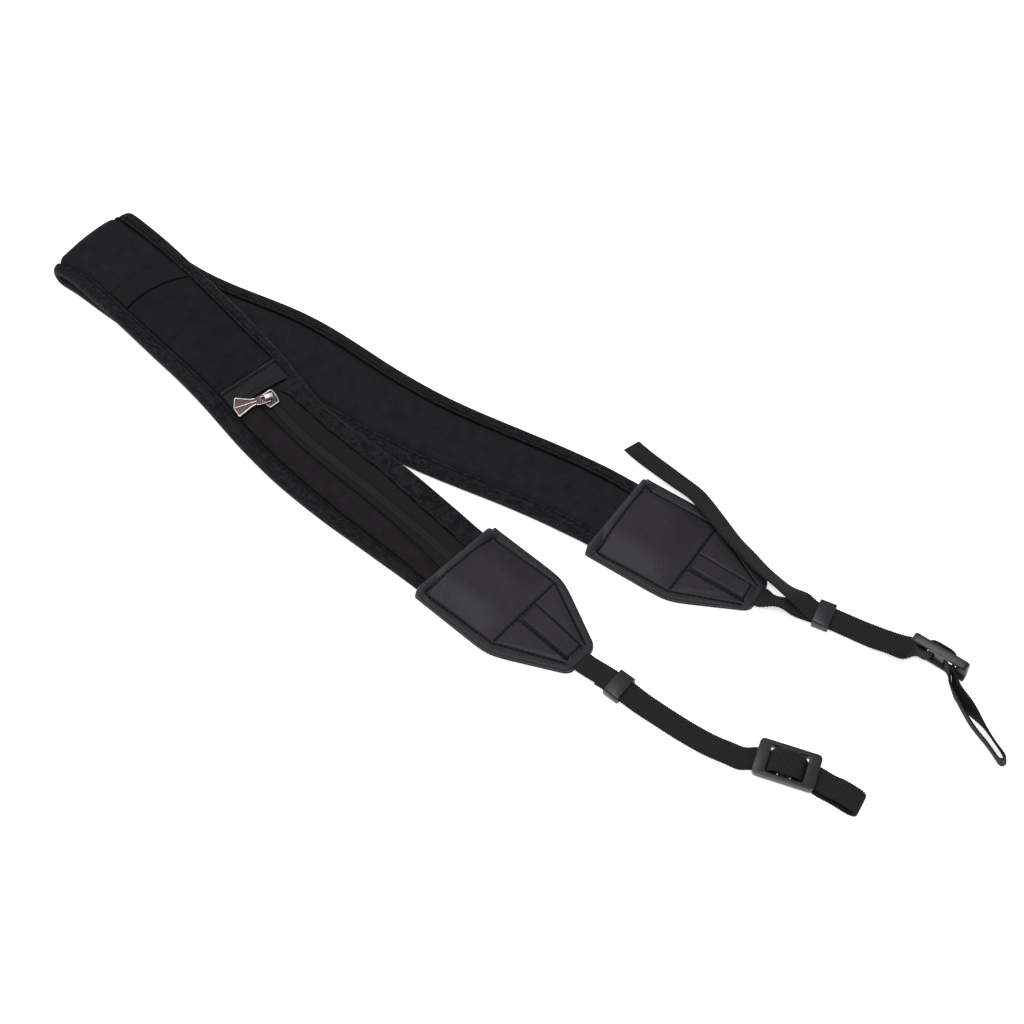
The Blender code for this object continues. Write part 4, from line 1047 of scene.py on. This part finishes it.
def patch_height(x, y, sewn):
    """Height of the upper leather's outer face over the table at (x, y)."""
    square, strip, _, aside, wider = sewn
    cut = x - mouth_slant(x, y, sewn)
    tilt = np.where(x > SHOULDER, np.cos(np.arctan(SLOPE)), 1.0)
    side = (patch_half(cut) + wider - np.abs(y - aside)) * tilt
    edge = np.minimum(side, PATCH_LENGTH - x)
    border = 1.95 + 1.05 * quarter_round(edge, 1.2) + 0.12 * line_of(edge - 2.0, 1.2)
    right = seam_at(x, (square[0][0], CROSS_SEAM), square[0], square[3])
    left = seam_at(x, (square[1][0], CROSS_SEAM), square[1], square[2])
    rise = np.interp(x, *CROWN)
    crown = rise * swell(y - right, 14.0) * swell(left - y, 12.0) * swell(CROSS_SEAM - x, 16.0)
    mouth = (1 - ease(cut / 7.0)) * rise * ease((PATCH_HALF - np.abs(y)) / 3.2)
    dome = (crown + mouth + np.sqrt((crown - mouth)**2 + 0.2)) / 2 - 0.2
    first = seam_at(x, (CROSS_SEAM, strip[1][0]), strip[0], strip[1])
    last = seam_at(x, (CROSS_SEAM, strip[2][0]), strip[3], strip[2])
    raised = ease(np.minimum(y - first, last - y) / 1.3) * ease((x - CROSS_SEAM - 0.6) / 2.0)
    strap = 1.05 * raised + 0.30 * ease((x - CROSS_SEAM - 1) / 3) * ease((side - 4.0) / 2.5)
    lip = 0.30 * line_of(cut - 1.2, 1.0)
    wrinkle = 0.06 * ripple(x * 1.4, y * 1.4, 31)
    tip = ease((PATCH_LENGTH - 2.5 - x) / 2.5)
    return border + lip + np.maximum(dome, 0.0) + strap * tip - 0.55 * seam_shade(x, y, sewn, 0.5) + wrinkle


def patch_points(place, x, y, z):
    """Points of a patch in the layout from its own along, across and up."""
    turn = radians(place[2])
    return np.stack([place[0] + x * np.cos(turn) - y * np.sin(turn),
                     place[1] + x * np.sin(turn) + y * np.cos(turn), z + 0 * x], -1)


print("leather rises to", CROWN[1].max(), "mm over its border")

# %% [markdown]
# The upper leather is hollow over the pad: its inner wall follows the outer one a thickness
# below.  The lower leather is a flat sheet with a rounded edge.  Both are rings along the
# patch: across the top and back across the underside.

# %% Patches
NEAR_PATCH = (-24.05, -26.3, -42.1)          # middle of the mouth and heading
FAR_PATCH = (43.8, -3.4, -34.5)
mouth_x = (0.0, 0.05, 0.2, 0.5, 0.9, 1.4)
tip_x = (67.2, 67.6, 68.1, 68.6, 69.1, 69.5, 69.8, 69.95, 70.0)
top_x = np.r_[mouth_x, np.arange(2.0, 67.0, 0.4), tip_x]
base_x = np.r_[mouth_x, np.arange(2.0, 67.0, 0.4)[::4], tip_x]
top_share = np.sin(np.linspace(-np.pi / 2, np.pi / 2, 121)) * 0.35 + np.linspace(-1, 1, 121) * 0.65
base_share = top_share[::4]


def patch_grid(rows, share, sewn):
    """Distance from the mouth, then the places along and across, on a grid over a patch."""
    cut = rows[:, None]
    y = (patch_half(cut) + sewn[4]) * share + sewn[3]
    return cut, cut + mouth_slant(cut, y, sewn), y


def build_patch(name, place, sewn):
    """Upper leather, lower leather and stitches of one patch."""
    cut, x, y = patch_grid(top_x, top_share, sewn)
    rim = np.abs(top_share) > 0.999
    top = patch_height(x, y, sewn)
    under = np.where(rim, LEATHER + 0.3, np.maximum(LEATHER + 0.25, top - LEATHER - 0.1))
    top = under + (np.where(rim, LEATHER + 0.6, top) - under) * (0.35 + 0.65 * ease(cut / 0.9))
    # Painted shade along the stitch lines, painted highlight on the raised lip at the mouth.
    shade = seam_shade(x, y, sewn, 0.42) - 0.9 * line_of(cut - 1.3, 1.2)
    upper = two_sided(name + "_top_leather", patch_points(place, x, y, top), patch_points(place, x, y, under),
                      top_x, 40, shade)
    dress(upper, PATCH_LEATHER, name + "_top")
    cut, x, y = patch_grid(base_x, base_share, sewn)
    edge = np.minimum(np.minimum((1 - np.abs(base_share)) * PATCH_HALF, cut), PATCH_LENGTH - x)
    round_off = 0.6 * (1 - quarter_round(edge, 0.6))
    lower = two_sided(name + "_bottom_leather", patch_points(place, x, y, LEATHER - round_off),
                      patch_points(place, x, y, round_off), base_x, 20)
    dress(lower, PATCH_LEATHER, name + "_bottom")
    way = np.linspace(0, 1, 200)
    d = 0.3
    for number, (x0, y0, x1, y1) in enumerate(stitch_lines(sewn)):
        x = x0 + (x1 - x0) * way
        y = y0 + (y1 - y0) * way
        spot = patch_points(place, x, y, patch_height(x, y, sewn))
        slope_x = (patch_height(x + d, y, sewn) - patch_height(x - d, y, sewn)) / (2 * d)
        normal = patch_points((0, 0, place[2]), -slope_x, 0 * way, 0 * way + 1)
        stitch_row(f"{name}_seam_{number}", spot, normal, pitch=2.3, length=2.0,
                   radius=0.22 if number < 5 else 0.17, lift=0.04)


build_patch("near_patch", NEAR_PATCH, NEAR_SEWN)
build_patch("far_patch", FAR_PATCH, FAR_SEWN)

# %% [markdown]
# ## The webbing
#
# Each webbing leaves its patch, goes over the keeper and through the buckle, makes the loop for
# the camera's lug and comes back below itself.  Its path is one smooth line through rows of
# places; each row also says how the width is turned.  The rows of a lay run midway between two
# layers, so one table gives both.

# %% Rows of the webbing
LAYER_STEP = 1.3
# each row: X, Y, Z, heading, tilt of the width
NEAR_PATCH_RUN = ((32.6, -76.9, 2.1, -40.5, 0), )
NEAR_LAY = ((39.4, -82.3, 2.4, -39.8, 0), (42.5, -84.9, 2.4, -39.8, 0), (45.6, -87.5, 2.4, -39.8, 0),
            (50.8, -91.7, 1.8, -39.4, -3), (56.2, -95.8, 1.7, -38.5, -6), (62.9, -100.9, 1.8, -36.5, -7),
            (70.6, -106.3, 1.8, -32.5, -7), (78.6, -111.1, 1.8, -28, -7), (85, -114.1, 1.7, -24, -6),
            (89.6, -115.8, 1.4, -21, -2))
NEAR_LOOP = ((118.2, -125.2, 2.6, -26, 0), (121.2, -128.2, 4, -28, 0), (125.2, -131.2, 5.6, -28, 0),
             (129, -134, 5.9, -29, 0), (131.7, -135.8, 5, -30, 0), (132.6, -136.4, 3.3, -30, 0),
             (131.7, -135.8, 1.5, -30, 0), (129, -134, 0.6, -29, 0), (125.2, -131.2, 0.5, -28, 0),
             (121.1, -128.6, 0.5, -26, 0), (117.4, -126.1, 0.5, -23, 0))
NEAR_TAIL = ((37.8, -81, 1.5, -39.6, 0), (35.6, -79.2, 1.1, -39.6, 0))
FAR_PATCH_RUN = ((106.4, -45.3, 2.9, -15, 28), (115, -47.9, 2.2, -20, 12))
FAR_LAY = ((123.5, -50.8, 2.4, -24.7, 0), (126.8, -52.3, 2.4, -24.7, 0), (130.1, -53.9, 2.4, -25.5, 0),
           (134.8, -56.1, 2, -27, 0), (140.5, -59.5, 2.5, -29, -2), (147, -63.3, 3.4, -29, -5),
           (153, -66.8, 4.9, -30, -4), (156.6, -69, 6, -31, -22))
FAR_LOOP = ((174.3, -80.6, 7.4, -76, -103), (174.5, -83.4, 6.7, -74, -96), (175.3, -87.8, 5.4, -68, -86),
            (177.8, -92.7, 5, -64, -84), (180.9, -97.6, 5, -62, -93), (183.5, -102.2, 4.9, -62, -106),
            (185.8, -107.2, 4.8, -62, -113), (188, -112, 4.8, -62, -114), (189.7, -115.8, 4.8, -62, -110),
            (189.8, -118.4, 4.8, -62, -107), (188.3, -119, 4.8, -62, -107), (186.8, -117.2, 4.8, -62, -108),
            (184.3, -112, 4.8, -62, -109), (181.5, -107.2, 4.8, -62, -109), (179, -102.4, 4.8, -62, -107),
            (176.4, -96, 5, -66, -107), (174.4, -90, 5, -72, -108), (173.1, -85, 5.8, -78, -108))
FAR_TAIL = ((119.1, -46.6, 3.9, -33.7, 8), (114, -42.8, 4.6, -37.9, 28), (108.4, -37.6, 5.1, -43.7, 36),
            (102.9, -31.8, 5.3, -50.3, 34), (97.5, -24.6, 5.4, -54.5, 32), (92.6, -18.1, 5.3, -58.6, 31),
            (87.3, -9.1, 5, -61, 28), (82.8, -1.2, 4.4, -59.2, 24), (78.1, 6.4, 3.6, -52.2, 20),
            (72.1, 12.7, 2.9, -45.4, 17), (64.8, 19.9, 2.3, -44.7, 15), (57.2, 27.4, 1.9, -46.1, 14),
            (51.7, 33.5, 1.7, -47.8, 14))
NEAR_BUCKLE = (106.0, -119.5, 0.0, -19.8, 0.0)
FAR_BUCKLE = (167.8, -77.1, 7.3, -36.7, -102.7)
# through a buckle: distance along it and height over its lower face
MAIN_THREAD = ((-12.6, 1.8), (-9.6, 1.8), (-8, 1.9), (-7.1, 2.4), (-6.5, 3.6), (-6, 5), (-5.1, 6.15),
               (-3.2, 6.7), (0, 6.8))
TAIL_THREAD = ((-12.6, 0.5), (-8, 0.5), (-5.4, 0.7), (-4, 1.5), (-3.2, 3), (-3, 4.4), (-2, 5.3), (0, 5.4))
print("loops of", len(NEAR_LOOP), "and", len(FAR_LOOP), "rows")

# %% [markdown]
# A row becomes a middle and the direction of the width.  The parts of the path are strung
# together in the order in which the webbing runs: patch, lay, buckle, loop, buckle, lay, tail.

# %% Paths of the webbing
def strap_frame(x, y, z, heading, tilt, side):
    """Middle of a row, then its directions along, across and out of the webbing."""
    along = compass(heading)
    across = compass(heading + 90 * side) * np.cos(radians(tilt)) + UP * np.sin(radians(tilt))
    return np.array([x, y, z], float), along, across, np.cross(along, across)


def shifted(rows, side, offset=0.0):
    """Rows moved off their own surface by an offset, as (middle, width direction)."""
    frames = [strap_frame(*row, side) for row in rows]
    return [(middle + normal * offset, across) for middle, _, across, normal in frames]


def threaded(table, buckle, side, first, reach, shift):
    """Rows through a buckle from first to reach along it, moved across it by a shift."""
    origin, along, across, normal = strap_frame(*buckle, side)
    path = [row for row in table if row[0] >= first]
    path += [(-x, h) for x, h in reversed(table[:-1]) if -x < reach]
    return [(origin + across * shift + along * x + normal * h, across) for x, h in path]


def webbing_rows(patch, run, lay, loop, tail, side, buckle, **fit):
    """Rows of a whole webbing; fit is how it lies in its buckle."""
    start = [(patch_points(patch, x, 0.0, LEATHER + 0.8), compass(patch[2] + 90 * side))
             for x in (45.0, 53.0, 61.0, 67.5, 71.2)]
    return (start + shifted(run, side) + shifted(lay, side, LAYER_STEP / 2)
            + threaded(MAIN_THREAD, buckle, side, **fit) + shifted(loop, side)
            + threaded(TAIL_THREAD, buckle, side, **fit)[::-1]
            + shifted(lay[::-1], side, -LAYER_STEP / 2) + shifted(tail, side))


near_rows = webbing_rows(NEAR_PATCH, NEAR_PATCH_RUN, NEAR_LAY, NEAR_LOOP, NEAR_TAIL, 1,
                         NEAR_BUCKLE, first=-13.0, reach=9.7, shift=-0.5)
far_rows = webbing_rows(FAR_PATCH, FAR_PATCH_RUN, FAR_LAY, FAR_LOOP, FAR_TAIL, -1,
                        FAR_BUCKLE, first=-8.5, reach=6.3, shift=0.0)
print(len(near_rows), "near rows,", len(far_rows), "far rows")

# %% [markdown]
# The weave shows as ribs across the webbing, one each millimetre, and the edges are scalloped
# by them.  The ribs are worth real geometry, because they catch the light on the loops: the
# half thickness and the half width both swell with a cosine along the path.

# %% Webbing with ribs
WEBBING_WIDTH = 9.8
WEBBING_THICK = 1.0
RIB_PITCH = 1.05
RINGS_PER_RIB = 5


def webbing(node, rows, buckle):
    """Ribbed flat strap along a spline through rows of (middle, width direction).

    In the buckle it is pressed wider: half a millimetre on either side, with a bell curve.
    """
    middles, widths = (np.array(column) for column in zip(*rows))
    chords = travelled(middles)
    at = np.linspace(0, chords[-1], int(chords[-1] / RIB_PITCH * RINGS_PER_RIB))
    line = spline(chords, middles)(at)
    across = unit(spline(chords, widths)(at))
    normal = unit(np.cross(unit(np.gradient(line, at, axis=0)), across))
    travel = travelled(line)
    rib = np.cos(travel * TURN / RIB_PITCH)[:, None]
    end = ease(np.minimum(travel, travel[-1] - travel) / 0.5)[:, None]
    flat = np.linspace(-1, 1, 11)[None, :]
    pressed = 0.55 * line_of(np.linalg.norm(line - np.array(buckle[:3]), axis=1), 9.0)[:, None]
    half_width = WEBBING_WIDTH / 2 - 0.12 + 0.10 * rib + pressed
    half_thick = (WEBBING_THICK / 2 - 0.09 + 0.085 * rib) * (0.3 + 0.7 * end) * (1 - 0.45 * np.abs(flat)**10)
    spread = line[:, None] + across[:, None] * (flat * half_width)[..., None]
    out = normal[:, None] * half_thick[..., None]
    dress(two_sided(node + "_ribs", spread + out, spread - out, travel / RIB_PITCH, 50), WEBBING_CLOTH, node)
    print(node, "is", round(travel[-1]), "mm long")


webbing("near_webbing", near_rows, NEAR_BUCKLE)
webbing("far_webbing", far_rows, FAR_BUCKLE)

# %% [markdown]
# ## Moulded plastic: keepers and buckles
#
# The keepers and buckles already have their true form as solids.  Moulded parts have no sharp
# edge, though, and it is the thin bright line along a rounded edge that makes them look real.
# So each solid is copied, its triangles are joined back into flat faces, and a Bevel modifier
# rounds every edge by a fraction of a millimetre.

# %% Rounded copies of solids
def rounded_copy(node, name, material, slot, radius, body="strap", edge_material=None, spread=1.0):
    """Copy of a solid with its flat faces joined and its edges rounded, and worn bright if asked.

    The spread stretches it flat about its middle, for a moulding that is a little fuller.
    """
    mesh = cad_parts[node].data.copy()
    mesh.name = name
    mesh.materials.clear()
    points = np.array([vertex.co for vertex in mesh.vertices], float)
    centre = (points.min(axis=0) + points.max(axis=0)) / 2
    mesh.vertices.foreach_set("co", (centre + (points - centre) * (spread, spread, 1.0)).ravel())
    skin = bmesh.new()
    skin.from_mesh(mesh)
    bmesh.ops.remove_doubles(skin, verts=skin.verts, dist=0.00001)
    bmesh.ops.dissolve_limit(skin, angle_limit=radians(2), verts=skin.verts, edges=skin.edges)
    skin.to_mesh(mesh)
    skin.free()
    piece = dress(mesh, material, node, body)
    bevel = piece.modifiers.new("rounded_edges", "BEVEL")
    bevel.width = radius * MM
    bevel.segments = 3
    bevel.limit_method = "ANGLE"
    bevel.angle_limit = radians(32)
    bevel.harden_normals = True
    if edge_material:
        mesh.materials.append(edge_material)
        bevel.material = 1
    return piece


FULLNESS = {"near_keeper": 1.0, "far_keeper": 1.0, "near_buckle": 1.035, "far_buckle": 1.025}
for node, spread in FULLNESS.items():
    rounded_copy(node, node + "_moulded", BUCKLE_PLASTIC, "moulded_plastic", radius=0.45, spread=spread)
cast = (NICKEL_DULL, "antique_nickel")
slider = rounded_copy("zip_slider", "zip_slider_cast", *cast, radius=0.26, edge_material=NICKEL)
rounded_copy("zip_pull", "zip_pull_cast", *cast, radius=0.16, body="pull", edge_material=NICKEL)

# %% [markdown]
# The flared end of the pull has a raised rim and a rib down its middle, and the slider's plate
# has a worn rim.  All are round beads that stand half out of a face.  They could be cut into
# the solids, but a bead swept along an outline is simpler and keeps the solids plain.  The
# frame of either piece is worked out from the slider's place on the zip.

# %% Beads on the pull and the slider
SLIDER_STATION = 110.6
SLIDER_ACROSS = -3.2
PLATE_TOP = 3.8                              # over the band's middle plane
HINGE_HEIGHT = 4.7
PULL_TURN = radians(69.0)
PULL_DIP = radians(0.5)
BEAD_STEP = 0.35
BEAD_SIDES = 10
# corners of the outlines as (along, across), half of the pull's and the whole of the plate's
FLARE = np.array(((6.2, 1.5), (8.2, 1.85), (11.2, 3.2), (14.1, 4.7), (14.65, 4.5), (15.85, 0.0)))
PLATE = ((3.8, 2.4), (3.1, 3.1), (0.0, 3.1), (-3.8, 2.25), (-3.8, -2.25), (0.0, -3.1), (3.1, -3.1),
         (3.8, -2.4), (3.8, 2.4))
slider_middle, slider_side, slider_up = (way[0] for way in NEAR.frame(np.array([SLIDER_STATION])))


def metal_points(x, y, z, turn=PULL_TURN, dip=PULL_DIP, height=HINGE_HEIGHT):
    """Layout places from a frame on the zip that is turned and dipped: x along it, z off its face."""
    along = np.cross(slider_side, slider_up)
    ahead = along * np.cos(turn) + slider_side * np.sin(turn)
    side = slider_side * np.cos(turn) - along * np.sin(turn)
    hinge = slider_middle + slider_side * SLIDER_ACROSS + slider_up * height
    out = slider_up * np.cos(dip) + ahead * np.sin(dip)
    ahead = ahead * np.cos(dip) - slider_up * np.sin(dip)
    return hinge + x[..., None] * ahead + y[..., None] * side + z[..., None] * out


def bead_along(name, corners, radius, above=0.42, body="pull", **frame_of):
    """Round bead on a face of the slider or the pull along a line of (x, y) corners."""
    corners = np.asarray(corners, float)
    chords = travelled(corners)
    at = np.linspace(0, chords[-1], int(chords[-1] / BEAD_STEP))
    line = np.stack([np.interp(at, chords, column) for column in corners.T], -1)
    forward = unit(np.gradient(line, at, axis=0))
    turn = np.arange(BEAD_SIDES) * TURN / BEAD_SIDES
    x = line[:, :1] - forward[:, 1:] * radius * np.cos(turn)
    y = line[:, 1:] + forward[:, :1] * radius * np.cos(turn)
    rings = metal_points(x, y, above + radius * np.sin(turn) + 0 * x, **frame_of)
    dress(rings_mesh(name, rings, at, 1), NICKEL, None, body)


for face in slider.data.polygons:
    height = (np.array(face.center) / MM + MIDDLE - slider_middle) @ slider_up
    face.material_index = int(height > PLATE_TOP + 0.3)
bead_along("zip_pull_rim", np.vstack([FLARE, FLARE[-2::-1] * (1, -1)]), radius=0.30)
bead_along("zip_pull_rib", ((5.6, 0.0), (15.6, 0.0)), radius=0.20)
bead_along("zip_slider_rim", PLATE, radius=0.26, above=0.0, body="strap", turn=0.0, dip=0.0, height=PLATE_TOP)
print("pull's hinge at", np.round(metal_points(*np.zeros((3, 1)))[0] - MIDDLE, 2))
